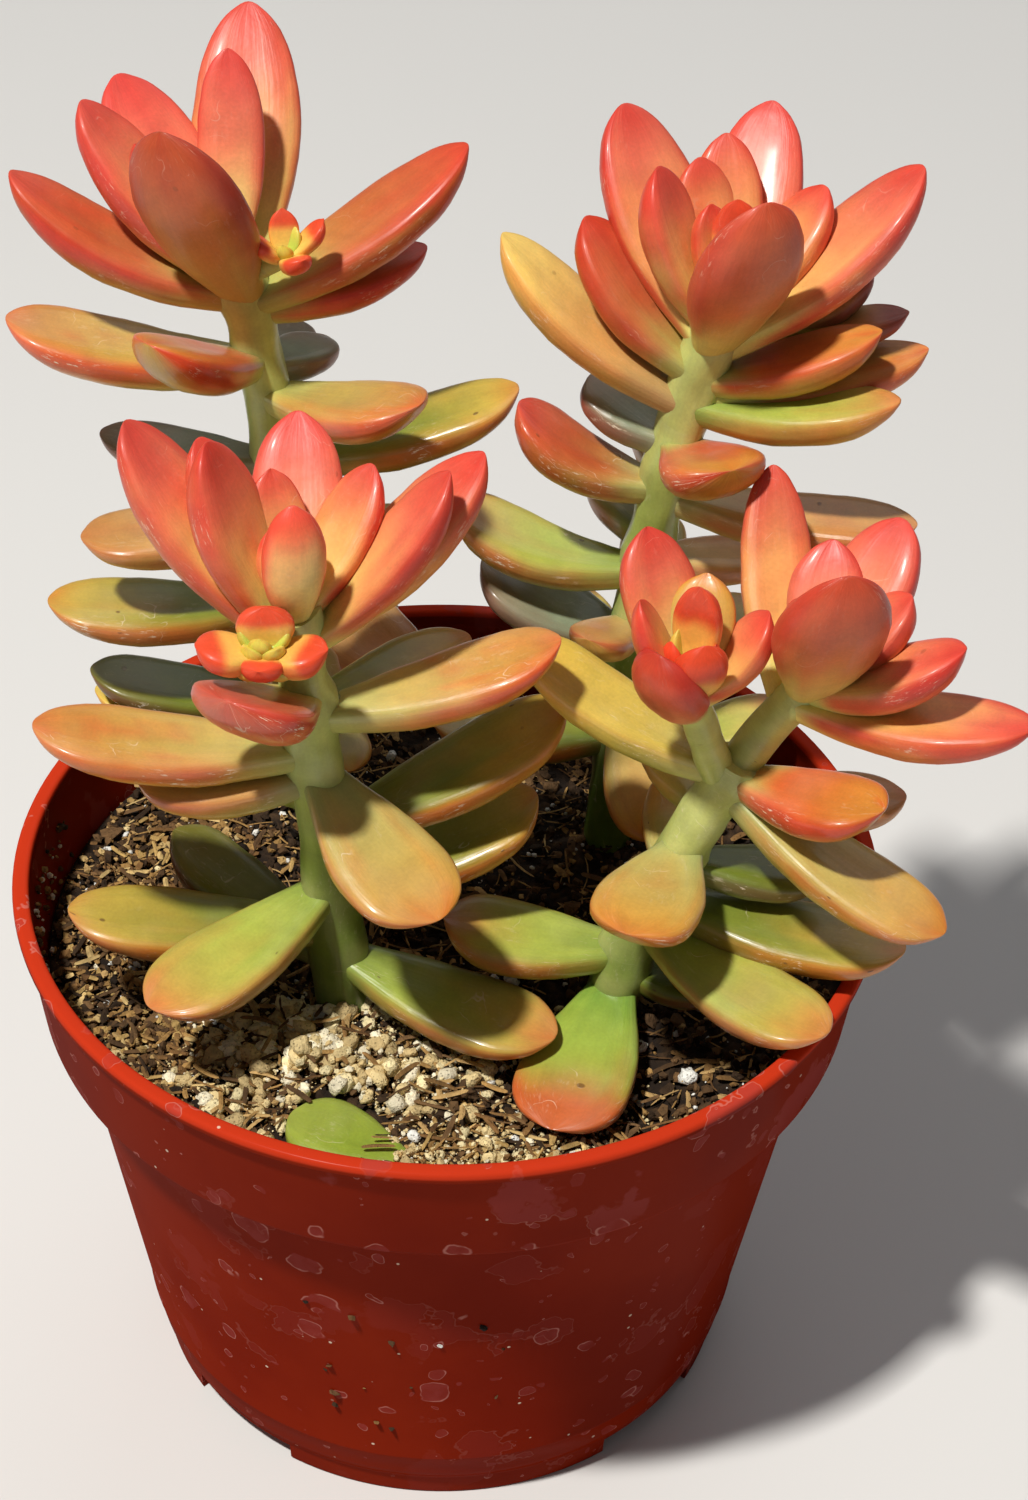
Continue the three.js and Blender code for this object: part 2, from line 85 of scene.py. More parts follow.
SCREEN_WHITE = 255
SCREEN_KNEE = 0.04045
SCREEN_SLOPE = 12.92
SCREEN_OFFSET = 0.055
SCREEN_POWER = 2.4
TINY = 1e-6


def paint(red: int, green: int, blue: int) -> Colour:
    """Turns a screen colour of 0 to 255 into a linear one.

    Args:
        red: Red part, 0 to 255.
        green: Green part, 0 to 255.
        blue: Blue part, 0 to 255.

    Returns:
        The colour as light, each part 0 to 1.
    """

    def linear(part: int) -> float:
        """Turns one part of 0 to 255 into light.

        Args:
            part: The part on the screen's scale.

        Returns:
            The part as light, 0 to 1.
        """
        share = part / SCREEN_WHITE
        if share <= SCREEN_KNEE:
            return share / SCREEN_SLOPE
        return ((share + SCREEN_OFFSET) / (1 + SCREEN_OFFSET)) ** SCREEN_POWER

    return linear(red), linear(green), linear(blue)


def smooth(low: float, high: float, value: float) -> float:
    """Eases from 0 at low to 1 at high."""
    share = min(max((value - low) / (high - low), 0.0), 1.0)
    return share * share * (3 - 2 * share)


def blend(first: Colour, second: Colour, share: float) -> Colour:
    """Mixes two colours, the second by a share of 0 to 1."""
    return tuple(a + (b - a) * share for a, b in zip(first, second))


def tinted(colour: Colour, tone: float) -> Colour:
    """Makes a colour lighter or darker."""
    return tuple(part * tone for part in colour)


def scaled(place: Sequence[float], shares: Sequence[float]) -> Vector:
    """Scales each of three parts by its own share."""
    return Vector([part * share for part, share in zip(place, shares)])


@dataclass(frozen=True)
class Skin:
    """The colours of one kind of leaf and how its blush lies on it.

    Margin and ridge are angles from the leaf's edge, in radians. The others are shares: of the
    leaf's length for tip, soft, start, reach and the fades along it, and of the full blush for
    strength and patches.
    """

    root: Colour
    above: Colour
    above_tip: Colour
    below: Colour
    below_tip: Colour
    blush: Colour
    margin: float = 0.45
    tip: float = 0.3
    soft: float = 0.35
    strength: float = 0.8
    patches: float = 0.3
    start: float = 0.5
    ridge: float = 0.45
    reach: float = 0.42
    root_end: float = 0.06
    above_fade: Pair = (0.4, 0.95)
    below_fade: Pair = (0.35, 0.9)
    face_fade: Pair = (-0.45, 0.25)
    patch_fade: Pair = (0.05, 0.75)
    patch_start: Pair = (0.15, 0.5)
    edge_lift: float = 0.12
    band_start: float = 0.02
    band_share: float = 0.85
    band_unevenness: float = 0.45
    drift: float = 0.1
    face_drift: float = 0.2
    cap_drift: float = 0.06
    cap_ridge: float = 0.05

    def at(self, along: float, across: float, face: float, wander: float) -> tuple[Colour, float]:
        """Gives the colour of one point of the leaf.

        Args:
            along: 0 at the root and 1 at the tip.
            across: -1 and 1 at the two margins, 0 on the midline.
            face: 1 on the upper face, -1 on the under face, 0 on the margins.
            wander: A slow noise of about -1 to 1, which makes the borders uneven.

        Returns:
            The colour, and the share of margin ridge at the point.
        """
        drift = along + self.drift * wander
        above = blend(self.above, self.above_tip, smooth(*self.above_fade, drift))
        below = blend(self.below, self.below_tip, smooth(*self.below_fade, drift))
        body = blend(below, above, smooth(*self.face_fade, face + self.face_drift * wander))
        body = blend(self.root, body, smooth(self.root_end, self.reach, drift))
        from_margin = math.atan2(face, max(abs(across), TINY)) + self.edge_lift
        ridge = math.exp(-((from_margin / self.ridge) ** 2))
        band = math.exp(-((from_margin / self.margin) ** 2))
        share = self.band_share + self.band_unevenness * wander
        band *= smooth(self.band_start, self.start, drift) * share
        start = 1 - self.tip
        cap = smooth(start, start + self.soft, along + self.cap_drift * wander + self.cap_ridge * ridge)
        patch = self.patches * smooth(*self.patch_fade, wander) * smooth(*self.patch_start, along)
        share = min(max(max(band, cap, patch), 0.0), 1.0) * self.strength
        return blend(body, self.blush, share), ridge


class Tone(Enum):
    """The kinds of leaf by colour, named after what they look like."""

    CORAL = Skin(
        paint(216, 208, 112), paint(232, 136, 92), paint(222, 102, 78), paint(222, 160, 88),
        paint(218, 110, 74), paint(208, 46, 40),
        margin=0.9, tip=0.34, soft=0.42, strength=0.84, start=0.3, reach=0.8,
    )
    ROSE = Skin(
        paint(208, 190, 96), paint(206, 112, 74), paint(198, 86, 62), paint(206, 117, 62),
        paint(206, 94, 58), paint(195, 58, 42),
        margin=0.7, tip=0.26, soft=0.4, strength=0.75, patches=0.15, start=0.4, reach=0.55,
    )
    BLOSSOM = Skin(
        paint(226, 212, 126), paint(234, 132, 95), paint(229, 105, 86), paint(234, 140, 90),
        paint(230, 105, 81), paint(216, 52, 48),
        margin=0.8, tip=0.38, soft=0.46, strength=0.84, start=0.34, reach=0.6,
    )
    CREAM = Skin(
        paint(220, 214, 122), paint(232, 214, 128), paint(240, 160, 104), paint(230, 214, 128),
        paint(242, 156, 100), paint(227, 68, 54),
        margin=0.6, tip=0.34, soft=0.3, strength=0.92, patches=0.1,
    )
    GOLD = Skin(
        paint(188, 154, 100), paint(221, 167, 97), paint(238, 203, 106), paint(204, 180, 82),
        paint(230, 200, 96), paint(222, 124, 62),
        margin=0.5, tip=0.06, strength=0.7, patches=0.15,
    )
    PEACH = Skin(
        paint(184, 184, 102), paint(196, 168, 84), paint(201, 142, 70), paint(182, 169, 54),
        paint(203, 153, 34), paint(217, 75, 42),
        margin=0.72, tip=0.16, soft=0.3, strength=0.86, patches=0.4,
    )
    EMBER = Skin(
        paint(176, 180, 96), paint(209, 105, 51), paint(205, 138, 58), paint(174, 174, 76),
        paint(192, 150, 52), paint(207, 58, 34),
        margin=0.8, tip=0, strength=0.9, patches=0.6, start=0.3,
    )
    AMBER = Skin(
        paint(168, 172, 106), paint(190, 172, 96), paint(206, 154, 66), paint(174, 164, 69),
        paint(186, 138, 32), paint(208, 104, 36),
        margin=0.45, tip=0.22, soft=0.32, strength=0.82, patches=0.25,
    )
    SAND = Skin(
        paint(174, 170, 108), paint(204, 160, 92), paint(190, 136, 76), paint(191, 160, 77),
        paint(213, 167, 82), paint(194, 90, 59),
        margin=0.5, tip=0.14, strength=0.75, patches=0.3,
    )
    SUNNY = Skin(
        paint(182, 178, 104), paint(213, 186, 84), paint(222, 190, 82), paint(192, 184, 78),
        paint(227, 196, 82), paint(224, 138, 57),
        margin=0.45, tip=0.1, strength=0.75, patches=0.15,
    )
    OCHRE = Skin(
        paint(122, 138, 54), paint(126, 135, 50), paint(190, 164, 70), paint(120, 132, 32),
        paint(172, 140, 34), paint(208, 108, 44),
        margin=0.52, tip=0.16, soft=0.3, strength=0.86, patches=0.15,
    )
    LIME = Skin(
        paint(142, 160, 72), paint(166, 178, 76), paint(192, 172, 80), paint(163, 182, 72),
        paint(209, 174, 62), paint(212, 120, 66),
        margin=0.5, tip=0.25, soft=0.3, strength=0.9, patches=0.12,
    )
    FLAME = Skin(
        paint(116, 150, 56), paint(152, 174, 68), paint(182, 152, 70), paint(122, 146, 40),
        paint(158, 114, 30), paint(198, 92, 43),
        margin=0.3, tip=0.38, soft=0.26, strength=0.95, patches=0.1,
    )
    FRESH = Skin(
        paint(176, 190, 70), paint(190, 204, 84), paint(216, 200, 84), paint(176, 190, 66),
        paint(216, 196, 80), paint(226, 140, 60),
        margin=0.25, tip=0.1, strength=0.5, patches=0.1,
    )
    CLOVER = Skin(
        paint(140, 158, 58), paint(138, 156, 54), paint(148, 162, 60), paint(130, 150, 48),
        paint(146, 160, 56), paint(166, 160, 66),
        margin=0.25, tip=0.1, strength=0.4, patches=0.1,
    )
    COPPER = Skin(
        paint(178, 178, 96), paint(188, 110, 59), paint(200, 88, 56), paint(163, 156, 61),
        paint(182, 107, 46), paint(204, 56, 39),
        margin=0.8, tip=0.26, soft=0.35, strength=0.9, start=0.3, reach=0.5,
    )
    DAWN = Skin(
        paint(224, 212, 118), paint(230, 174, 98), paint(223, 106, 76), paint(228, 176, 94),
        paint(222, 108, 72), paint(212, 54, 43),
        margin=0.75, tip=0.32, soft=0.4, strength=0.88, start=0.25, reach=0.5,
    )
    MAROON = Skin(
        paint(190, 156, 78), paint(196, 112, 64), paint(180, 74, 52), paint(196, 118, 54),
        paint(188, 84, 48), paint(156, 42, 34),
        margin=0.6, tip=0.2, soft=0.4, strength=0.72, patches=0.2, start=0.35, reach=0.5,
    )
    CHERRY = Skin(
        paint(201, 162, 94), paint(206, 76, 57), paint(198, 58, 46), paint(205, 110, 70),
        paint(192, 74, 47), paint(183, 46, 35),
        margin=0.6, tip=0.3, soft=0.4, strength=0.75, patches=0.2, start=0.4,
    )
    MOSS = Skin(
        paint(106, 124, 44), paint(108, 121, 40), paint(114, 112, 44), paint(100, 110, 38),
        paint(120, 106, 42), paint(120, 62, 47),
        margin=0.34, tip=0.08, strength=0.8, patches=0.08,
    )
    # Painted shade: a dark, dull grey-green given to the leaves that sit in shade at the back of the
    # stems.
    SHADED_GREY = Skin(
        paint(150, 150, 118), paint(134, 144, 116), paint(141, 124, 99), paint(128, 136, 110),
        paint(138, 114, 94), paint(156, 86, 70),
        margin=0.42, tip=0.12, strength=0.75, patches=0.15,
    )
    BUD = Skin(
        paint(222, 206, 104), paint(240, 188, 90), paint(234, 130, 65), paint(240, 190, 96),
        paint(234, 130, 65), paint(222, 70, 41),
        margin=0.3, tip=0.46, soft=0.2, strength=0.95, patches=0.1,
    )
    PLUM = Skin(
        paint(166, 168, 88), paint(194, 150, 88), paint(186, 118, 80), paint(150, 124, 62),
        paint(140, 66, 54), paint(152, 58, 52),
        margin=0.35, tip=0.4, soft=0.3, strength=0.8,
    )


@dataclass(frozen=True)
class Leaf:
    """One leaf: its place on the stem, its bearing and rise, its size and its colours.

    The bearing is 0 to the right and 90 away from the front. Bend is how far the leaf curves up
    from root to tip, and roll how far it turns about its own length.
    """

    at: float
    turn: float
    rise: float
    length: float
    width: float
    tone: Tone
    bend: float = 20
    roll: float = 0


@dataclass(frozen=True)
class Stem:
    """One stem: the four points of its curve, its radii, its leaves and those of its rosette."""

    curve: Sequence[Triple]
    radii: Pair
    cut: float = 1.0
    leaves: Sequence[Leaf] = ()
    head: Sequence[Leaf] = ()

    def point(self, at: float) -> Vector:
        """Gives a place on the curve.

        Args:
            at: The share of the curve.

        Returns:
            The place, in millimetres.
        """
        a, b, c, d = (Vector(point) for point in self.curve)
        rest = 1 - at
        return a * rest**3 + b * (3 * rest * rest * at) + c * (3 * rest * at * at) + d * at**3

    def tangent(self, at: float) -> Vector:
        """Gives the direction in which the stem grows.

        Args:
            at: The share of the curve.

        Returns:
            The direction, of length 1.
        """
        a, b, c, d = (Vector(point) for point in self.curve)
        rest = 1 - at
        return ((b - a) * rest * rest + (c - b) * (2 * rest * at) + (d - c) * at * at).normalized()

    def radius(self, at: float) -> float:
        """The stem's radius at a share of its curve, in millimetres."""
        return self.radii[0] + (self.radii[1] - self.radii[0]) * at


BACK_LEFT = Stem(
    curve=((-23, 32, 78), (-29, 33, 130), (-28, 31, 178), (-37, 29, 214)),
    radii=(4.6, 3.2),
    cut=0.84,
    leaves=(
        Leaf(0.8, -178, 11, 42, 16, Tone.PEACH, 24),
        Leaf(0.8, -128, 30, 30, 15, Tone.EMBER),
        Leaf(0.79, 60, -12, 20, 11, Tone.SHADED_GREY),
        Leaf(0.76, 82, -6, 26, 11, Tone.SHADED_GREY),
        Leaf(0.75, -37, 17, 34, 16, Tone.PEACH),
        Leaf(0.66, 84, -12, 26, 11, Tone.OCHRE),
        Leaf(0.64, 9, 15, 43, 15, Tone.OCHRE),
        Leaf(0.64, 169, 2, 31, 12, Tone.SHADED_GREY),
        Leaf(0.56, -170, -4, 35, 15, Tone.SAND),
        Leaf(0.5, -52, -12, 34, 18, Tone.SAND),
        Leaf(0.44, 52, 0, 32, 13, Tone.OCHRE),
        Leaf(0.42, -173, 3, 43, 16, Tone.OCHRE),
        Leaf(0.36, 110, 2, 32, 13, Tone.LIME),
        Leaf(0.3, -68, -6, 26, 12, Tone.OCHRE),
        Leaf(0.28, 62, 6, 30, 12, Tone.LIME),
        Leaf(0.26, -179, 10, 39, 14, Tone.MOSS),
        Leaf(0.2, 178, 14, 40, 12, Tone.SUNNY),
    ),
    head=(
        Leaf(0.93, 90, 42, 48, 18, Tone.CORAL),
        Leaf(0.97, 94, 60, 33, 11, Tone.BLOSSOM),
        Leaf(0.95, 132, 37, 38, 17, Tone.BLOSSOM),
        Leaf(0.93, 158, 44, 38, 15, Tone.CORAL),
        Leaf(0.965, -165, 56, 27, 11, Tone.DAWN),
        Leaf(0.92, -130, 64, 38, 19, Tone.MAROON, 14, 20),
        Leaf(0.91, 172, 26, 42, 14, Tone.COPPER, 36),
        Leaf(0.9, 18, 31, 44, 16, Tone.COPPER),
        Leaf(0.885, 24, 9, 32, 12, Tone.COPPER, 14),
    ),
)

FRONT_LEFT = Stem(
    curve=((-17, -18, 78), (-20, -19, 118), (-21, -22, 150), (-25, -24, 179)),
    radii=(5, 3.6),
    cut=0.86,
    leaves=(
        Leaf(0.8, -119, 32, 26, 19, Tone.ROSE),
        Leaf(0.78, 40, -2, 33, 13, Tone.OCHRE),
        Leaf(0.76, 5, 18, 42, 15, Tone.PEACH),
        Leaf(0.72, 96, -4, 27, 12, Tone.OCHRE),
        Leaf(0.68, -176, 8, 45, 16, Tone.PEACH),
        Leaf(0.63, -52, -16, 34, 19, Tone.AMBER),
        Leaf(0.62, -176, -1, 29, 13, Tone.SAND),
        Leaf(0.56, 128, -4, 26, 12, Tone.OCHRE),
        Leaf(0.49, 16, 24, 45, 17, Tone.OCHRE),
        Leaf(0.37, -140, -10, 38, 17, Tone.LIME),
        Leaf(0.36, 18, 18, 38, 18, Tone.OCHRE),
        Leaf(0.34, 85, 4, 24, 11, Tone.LIME),
        Leaf(0.28, -176, 6, 45, 16, Tone.OCHRE),
        Leaf(0.22, -24, -6, 41, 17, Tone.LIME),
        Leaf(0.2, 152, 25, 36, 14, Tone.MOSS),
    ),
    head=(
        Leaf(0.93, 152, 46, 43, 16, Tone.CORAL),
        Leaf(0.97, 136, 50, 32, 12, Tone.CORAL),
        Leaf(0.94, 158, 66, 35, 16, Tone.CORAL),
        Leaf(0.97, 90, 42, 34, 15, Tone.BLOSSOM),
        Leaf(0.985, 106, 56, 23, 10, Tone.DAWN),
        Leaf(0.975, -80, 82, 24, 10, Tone.CREAM),
        Leaf(0.985, 150, 74, 15, 6, Tone.CREAM),
        Leaf(0.985, 40, 72, 14, 6, Tone.CREAM),
        Leaf(0.98, 52, 44, 27, 11, Tone.DAWN),
        Leaf(0.92, 19, 48, 37, 13, Tone.CORAL),
        Leaf(0.94, 32, 34, 41, 15, Tone.CORAL),
    ),
)

BACK_RIGHT = Stem(
    curve=((29, 27, 78), (32, 26, 130), (31, 22, 170), (44, 18, 212)),
    radii=(4.6, 3.2),
    cut=0.8,
    leaves=(
        Leaf(0.76, -68, 20, 22, 17, Tone.EMBER),
        Leaf(0.76, 140, 18, 19, 13, Tone.SHADED_GREY),
        Leaf(0.7, 88, -2, 27, 12, Tone.SAND),
        Leaf(0.69, 168, 26, 28, 14, Tone.COPPER, 50),
        Leaf(0.68, -12, 0, 43, 14, Tone.SAND),
        Leaf(0.6, 105, -4, 27, 12, Tone.OCHRE),
        Leaf(0.57, 22, -12, 24, 12, Tone.SAND),
        Leaf(0.55, 169, 15, 35, 15, Tone.LIME, 50),
        Leaf(0.48, 80, 0, 30, 12, Tone.OCHRE),
        Leaf(0.46, -118, 22, 21, 11, Tone.SAND),
        Leaf(0.42, 164, 23, 30, 18, Tone.SHADED_GREY),
        Leaf(0.38, 40, 2, 30, 12, Tone.OCHRE),
        Leaf(0.34, 110, 4, 30, 12, Tone.LIME),
        Leaf(0.32, -76, -24, 29, 15, Tone.AMBER),
        Leaf(0.26, -176, 6, 34, 13, Tone.OCHRE),
        Leaf(0.22, 15, 12, 32, 12, Tone.LIME),
        Leaf(0.18, 75, 18, 28, 11, Tone.MOSS),
    ),
    head=(
        Leaf(0.93, 120, 44, 41, 17, Tone.CORAL),
        Leaf(0.95, 152, 64, 28, 13, Tone.CORAL),
        Leaf(0.98, 91, 50, 28, 12, Tone.DAWN),
        Leaf(0.97, 108, 56, 25, 11, Tone.DAWN),
        Leaf(0.95, 72, 42, 39, 16, Tone.BLOSSOM),
        Leaf(0.93, -68, 66, 35, 18, Tone.ROSE, 14),
        Leaf(0.96, 36, 42, 27, 12, Tone.DAWN),
        Leaf(0.92, 15, 40, 44, 17, Tone.CORAL),
        Leaf(0.88, 150, 44, 31, 15, Tone.COPPER),
        Leaf(0.83, 160, 36, 41, 15, Tone.GOLD),
        Leaf(0.87, -8, 22, 31, 13, Tone.EMBER),
        Leaf(0.85, 6, 9, 39, 14, Tone.PEACH),
        Leaf(0.83, -16, 11, 35, 14, Tone.LIME),
        Leaf(0.99, 80, 82, 17, 8, Tone.BUD),
        Leaf(0.98, 130, 72, 17, 8, Tone.DAWN),
        Leaf(0.99, 10, 74, 12, 5, Tone.BUD),
        Leaf(0.99, -150, 76, 12, 5, Tone.BUD),
    ),
)

FRONT_RIGHT = Stem(
    curve=((27, -19, 78), (30, -19, 112), (40, -21, 130), (47, -22, 149)),
    radii=(5, 4),
    leaves=(
        Leaf(0.95, 158, 24, 40, 14, Tone.SUNNY),
        Leaf(0.95, -34, 11, 28, 15, Tone.EMBER),
        Leaf(0.92, -32, -18, 43, 15, Tone.AMBER),
        Leaf(0.88, 12, -10, 33, 13, Tone.SAND),
        Leaf(0.8, 105, 0, 26, 12, Tone.SUNNY),
        Leaf(0.68, -114, 3, 27, 18, Tone.AMBER),
        Leaf(0.62, 4, -10, 26, 12, Tone.MOSS),
        Leaf(0.55, 80, 4, 26, 12, Tone.AMBER),
        Leaf(0.48, -14, -3, 43, 16, Tone.OCHRE),
        Leaf(0.42, 10, -4, 30, 15, Tone.MOSS),
        Leaf(0.4, -46, 2, 41, 16, Tone.LIME),
        Leaf(0.3, 176, 8, 32, 17, Tone.LIME),
        Leaf(0.24, -20, 6, 19, 10, Tone.MOSS),
        Leaf(0.22, -111, -10, 34, 20, Tone.FLAME),
        Leaf(0.22, 60, 14, 24, 11, Tone.LIME),
    ),
)

SMALL_BRANCH = Stem(
    curve=((45, -21, 143), (42, -23, 152), (39, -25, 160), (37, -27, 170)),
    radii=(3.2, 2.6),
    cut=0.45,
    head=(
        Leaf(0.85, 116, 51, 27, 13, Tone.CORAL),
        Leaf(0.9, 77, 52, 18, 11, Tone.AMBER),
        Leaf(0.95, 60, 84, 17, 8, Tone.BUD),
        Leaf(0.85, 172, 62, 19, 9, Tone.DAWN),
        Leaf(0.8, 14, 53, 19, 10, Tone.DAWN),
        Leaf(0.75, -134, 57, 18, 13, Tone.CHERRY),
        Leaf(0.9, -80, 62, 15, 9, Tone.BUD),
        Leaf(0.93, -30, 66, 10, 5, Tone.BUD),
        Leaf(0.93, -150, 68, 10, 5, Tone.BUD),
        Leaf(0.95, 140, 74, 9, 4, Tone.FRESH),
    ),
)

LARGE_BRANCH = Stem(
    curve=((46, -21, 145), (50, -20, 152), (55, -19, 158), (59, -19, 166)),
    radii=(3.6, 3),
    cut=0.42,
    head=(
        Leaf(0.62, 94, 44, 40, 12, Tone.DAWN),
        Leaf(0.85, -83, 63, 37, 18, Tone.ROSE, 14),
        Leaf(0.92, 78, 48, 22, 12, Tone.BLOSSOM),
        Leaf(0.88, 49, 41, 30, 15, Tone.BLOSSOM),
        Leaf(0.9, 8, 45, 21, 12, Tone.CORAL),
        Leaf(0.94, -20, 54, 16, 9, Tone.CORAL),
        Leaf(0.82, -22, 31, 29, 14, Tone.CORAL),
        Leaf(0.72, -20, 8, 39, 15, Tone.DAWN),
        Leaf(0.96, -150, 74, 16, 8, Tone.CORAL),
    ),
)

BACK_LEFT_BUD = Stem(
    curve=((-36, 28, 207), (-33, 26, 210), (-29, 25, 212), (-27, 24, 214)),
    radii=(1.6, 1.3),
    head=(
        Leaf(0.9, 100, 70, 8, 5, Tone.BUD),
        Leaf(0.9, 15, 45, 9, 5, Tone.BUD),
        Leaf(0.9, -60, 25, 7, 5, Tone.BUD),
        Leaf(0.9, -160, 45, 7, 5, Tone.BUD),
        Leaf(0.95, -100, 55, 4.5, 3, Tone.FRESH),
        Leaf(0.95, 50, 65, 5, 3, Tone.FRESH),
    ),
)

FRONT_LEFT_BUD = Stem(
    curve=((-24, -24, 173), (-26, -28, 175), (-27, -31, 176), (-29, -34, 178)),
    radii=(2, 1.8),
    head=(
        Leaf(0.9, -168, 16, 11, 9, Tone.BUD),
        Leaf(0.9, -12, 14, 10, 9, Tone.BUD),
        Leaf(0.9, 90, 84, 8, 9, Tone.BUD),
        Leaf(0.9, -142, -8, 6, 6, Tone.FRESH),
        Leaf(0.9, -40, -8, 6, 6, Tone.FRESH),
        Leaf(0.9, -95, 14, 7, 7, Tone.BUD),
        Leaf(0.92, -130, 40, 5, 4, Tone.FRESH),
        Leaf(0.92, -55, 40, 5, 4, Tone.FRESH),
        Leaf(0.95, -100, 62, 5, 4, Tone.FRESH),
        Leaf(0.92, 160, 50, 6, 4, Tone.FRESH),
        Leaf(0.92, 20, 50, 6, 4, Tone.FRESH),
    ),
)

BACK_RIGHT_SHOOT = Stem(
    curve=((38, 21, 192), (44, 23, 196), (50, 26, 198), (56, 27, 202)),
    radii=(2, 1.6),
    head=(
        Leaf(0.9, 14, 35, 17, 9, Tone.PLUM),
        Leaf(0.9, -3, 12, 20, 9, Tone.PLUM),
        Leaf(0.9, 110, 40, 14, 8, Tone.CORAL),
        Leaf(0.95, 60, 60, 11, 6, Tone.PLUM),
    ),
)

FALLEN_LEAF = Leaf(0, 152, 3, 22, 14, Tone.CLOVER, 10)
FALLEN_LEAF_BASE = (-6, -58, 91)


class Nodes:
    """Adds nodes to one tree and links them."""

    def __init__(self, tree: bpy.types.NodeTree) -> None:
        """Keeps the tree that the nodes go into."""
        self.tree = tree

    def add(self, kind: str, inputs: dict | None = None, **settings: object) -> bpy.types.Node:
        """Adds one node.

        Args:
            kind: The node's type name.
            inputs: Values or sockets for its inputs, by name or number.
            **settings: Properties of the node itself.

        Returns:
            The new node.
        """
        node = self.tree.nodes.new(kind)
        for name, value in settings.items():
            setattr(node, name, value)
        self.feed(node, inputs or {})
        return node

    def feed(self, node: bpy.types.Node, inputs: dict) -> None:
        """Sets or links the inputs of a node.

        Args:
            node: The node.
            inputs: Values or sockets, by the input's name or number.
        """
        for name, value in inputs.items():
            if isinstance(value, Socket):
                self.tree.links.new(value, node.inputs[name])
            else:
                node.inputs[name].default_value = value

    def math(self, operation: str, *values: object) -> Socket:
        """A sum on one to three values or sockets."""
        return self.add("ShaderNodeMath", dict(enumerate(values)), operation=operation).outputs[0]

    def plus(self, first: object, second: object) -> Socket:
        """Adds two values."""
        return self.math("ADD", first, second)

    def minus(self, first: object, second: object) -> Socket:
        """Takes the second value from the first."""
        return self.math("SUBTRACT", first, second)

    def times(self, first: object, second: object) -> Socket:
        """Multiplies two values."""
        return self.math("MULTIPLY", first, second)

    def greater(self, first: object, second: object) -> Socket:
        """The greater of two values."""
        return self.math("MAXIMUM", first, second)

    def ramp(self, value: object, low: float, high: float, start: float = 0, end: float = 1) -> Socket:
        """Maps a value from low to high onto start to end, with an eased step."""
        inputs = {"Value": value, "From Min": low, "From Max": high, "To Min": start, "To Max": end}
        return self.add("ShaderNodeMapRange", inputs, interpolation_type="SMOOTHSTEP").outputs[0]

    def mix(self, share: object, first: object, second: object) -> Socket:
        """Mixes two colours by a share."""
        inputs = {0: share, 6: opaque(first), 7: opaque(second)}
        return self.add("ShaderNodeMix", inputs, data_type="RGBA").outputs[2]

    def noise(self, place: object, scale: float, detail: float = 2, rough: float = 0.5) -> Socket:
        """A cloudy noise of 0 to 1 at a place."""
        inputs = {"Vector": place, "Scale": scale, "Detail": detail, "Roughness": rough}
        return self.add("ShaderNodeTexNoise", inputs).outputs[0]

    def stretched(self, place: object, scale: Triple) -> Socket:
        """A place whose three parts are scaled, which draws a pattern out."""
        return self.add("ShaderNodeMapping", {"Vector": place, "Scale": scale}).outputs[0]

    def cells(self, place: object, scale: object) -> bpy.types.Node:
        """A pattern of cells round scattered points."""
        return self.add("ShaderNodeTexVoronoi", {"Vector": place, "Scale": scale})

    def drawn(self, cells: bpy.types.Node) -> bpy.types.Node:
        """Three random numbers for each cell, as the parts of its colour."""
        return self.add("ShaderNodeSeparateColor", {"Color": cells.outputs["Color"]})


def opaque(colour: object) -> object:
    """Gives a colour of three parts its fourth, and leaves a socket as it is."""
    return (*colour, 1.0) if isinstance(colour, tuple) and len(colour) == 3 else colour


def new_group(name: str, inputs: dict[str, tuple[str, object]], outputs: dict[str, str]) -> tuple:
    """Starts a shader node group.

    Args:
        name: The group's name.
        inputs: Socket type and default value of each input, by name.
        outputs: Socket type of each output, by name.

    Returns:
        The group, its nodes helper, its input sockets and its output node.
    """
    group = bpy.data.node_groups.new(name, "ShaderNodeTree")
    for label, (kind, default) in inputs.items():
        socket = group.interface.new_socket(label, in_out="INPUT", socket_type=kind)
        if default is not None:
            socket.default_value = default
    for label, kind in outputs.items():
        group.interface.new_socket(label, in_out="OUTPUT", socket_type=kind)
    nodes = Nodes(group)
    entry = nodes.add("NodeGroupInput").outputs
    return group, nodes, entry, nodes.add("NodeGroupOutput")


FLOAT = "NodeSocketFloat"
COLOUR = "NodeSocketColor"
VECTOR = "NodeSocketVector"


